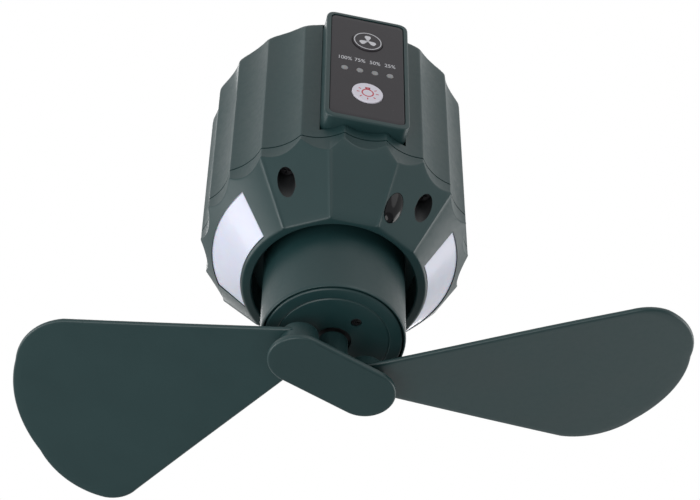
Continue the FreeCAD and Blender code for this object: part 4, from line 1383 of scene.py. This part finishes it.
@dataclass
class Insides(Assembly):
    """Inner pieces that keep their CAD shape and get their finish."""

    def build(self) -> None:
        """Gives each node that stays its material."""
        look = {"led_board_left": self.palette.board, "led_board_right": self.palette.board,
                "led_chips_left": self.palette.chip, "led_chips_right": self.palette.chip,
                # The motor's dark zinc finish is painted shade: it keeps the gap round the hub's boss dark.
                "motor": self.palette.screw, "motor_board": self.palette.board,
                "fan_button_switch": self.palette.trim, "lamp_button_switch": self.palette.trim,
                "panel_board": self.palette.board, "battery_cells": self.palette.wrap,
                "cell_holder": self.palette.trim, "main_board": self.palette.board,
                "charge_port": self.palette.steel, "charge_board": self.palette.board,
                "motor_shaft": self.palette.steel}
        for name, finish in look.items():
            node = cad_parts[name]
            node.data.materials.clear()
            node.data.materials.append(finish)
            log.info("%s keeps its shape", name)


# Studio


@dataclass(frozen=True)
class Lamp:
    """Soft area lamp that points at the fan."""

    name: str
    place: tuple[float, float, float]
    size: float
    power: float


@dataclass
class Studio:
    """Pale floor, soft lamps, white surroundings and the camera."""

    floor_level: float = -2.6
    floor_glow: float = 0.5
    eye: tuple[float, float, float] = (-0.1085, -0.5106, -0.7196)
    yaw: float = 12.69
    pitch: float = 50.19
    roll: float = 0.012
    lens: float = 102.16
    target: tuple[float, float, float] = (0.0, 0.0, -0.09)
    lamps: tuple[Lamp, ...] = (
        Lamp("left_softbox", (-1.3, 0.2, -0.4), 0.9, 9.5),
        Lamp("right_softbox", (1.3, 0.25, -0.15), 0.9, 7.0),
        Lamp("high_softbox", (0.1, 0.9, 1.1), 1.0, 10.0),
        Lamp("left_fill", (-0.6, -0.55, -1.15), 0.9, 9.0),
        Lamp("front_fill", (0.5, -1.2, 0.2), 0.9, 3.0),
    )

    def white_where_seen(self, tree: bpy.types.NodeTree, plain: Sequence[float], dim: float) -> None:
        """Sets the world to white for camera, glossy and transmission rays, and dimmer for soft light."""
        rays = tree.nodes.new("ShaderNodeLightPath")
        seen = Sock(tree, rays.outputs["Is Camera Ray"]) + Sock(tree, rays.outputs["Is Transmission Ray"])
        seen = seen + Sock(tree, rays.outputs["Is Glossy Ray"]) * 0.85
        ground = tree.nodes["Background"]
        ground.inputs["Color"].default_value = (*plain, 1.0)
        tree.links.new((seen + dim).least(1.0).socket, ground.inputs["Strength"])

    def build_world(self) -> None:
        """White surroundings."""
        world = bpy.data.worlds.new("studio")
        world.use_nodes = True
        bpy.context.scene.world = world
        self.white_where_seen(world.node_tree, (1.0, 1.0, 1.0), 0.42)

    def build_floor(self) -> None:
        """Wide pale disc below the camera."""
        profile = np.array([(0.0, -5.0), (6000.0, -5.0), (6000.0, 0.0), (0.0, 0.0)])
        profile = profile + (0, self.floor_level / MM)
        graph = Graph("pale_floor")
        speck = graph.noise(60.0, 3.0)
        seen = graph.node("ShaderNodeLightPath", output="Is Camera Ray")
        graph.feed(Base_Color=graph.mix(speck, (0.84, 0.84, 0.84), (0.88, 0.88, 0.88)),
                   Roughness=0.6 + speck * 0.2,
                   Emission_Color=graph.mix(seen, (0.0, 0.0, 0.0), (1.0, 1.0, 1.0)))
        graph.feed(Emission_Strength=self.floor_glow)
        piece_of("floor", lathe("floor", profile, 96), graph.material)

    def build_lamps(self) -> None:
        """Area lamps aimed at the fan."""
        for lamp in self.lamps:
            light = bpy.data.lights.new(lamp.name, "AREA")
            light.shape = "DISK"
            light.size = lamp.size
            light.energy = lamp.power
            holder = bpy.data.objects.new(lamp.name, light)
            holder.location = lamp.place
            aim = Vector(self.target) - Vector(lamp.place)
            holder.rotation_euler = aim.to_track_quat("-Z", "Y").to_euler()
            bpy.context.scene.collection.objects.link(holder)

    def build_camera(self) -> None:
        """Camera below the fan, looking up at the panel."""
        yaw, pitch = math.radians(self.yaw), math.radians(self.pitch)
        ahead = Vector((math.sin(yaw) * math.cos(pitch), math.cos(yaw) * math.cos(pitch), math.sin(pitch)))
        level = Vector((math.cos(yaw), -math.sin(yaw), 0.0))
        upright = level.cross(ahead)
        right = math.cos(self.roll) * level + math.sin(self.roll) * upright
        above = math.cos(self.roll) * upright - math.sin(self.roll) * level
        camera = bpy.data.cameras.new("camera")
        camera.sensor_width = 36.0
        camera.sensor_fit = "HORIZONTAL"
        camera.lens = self.lens
        holder = bpy.data.objects.new("camera", camera)
        turn = Matrix((right, above, -ahead)).transposed().to_4x4()
        holder.matrix_world = Matrix.Translation(Vector(self.eye)) @ turn
        bpy.context.scene.collection.objects.link(holder)
        bpy.context.scene.camera = holder

    def build(self) -> None:
        """Makes the whole studio."""
        self.build_world()
        self.build_floor()
        self.build_lamps()
        self.build_camera()
        bpy.context.scene.view_settings.view_transform = "Standard"


def main() -> None:
    """Builds every sub-assembly in order."""
    logging.basicConfig(level=logging.INFO, format="%(name)s %(message)s")
    palette = Palette()
    Studio().build()
    for kind in (Housing, LampEnd, MotorPod, Panel, Rotor, Insides):
        kind(palette).build()


if __name__ == "__main__":
    main()
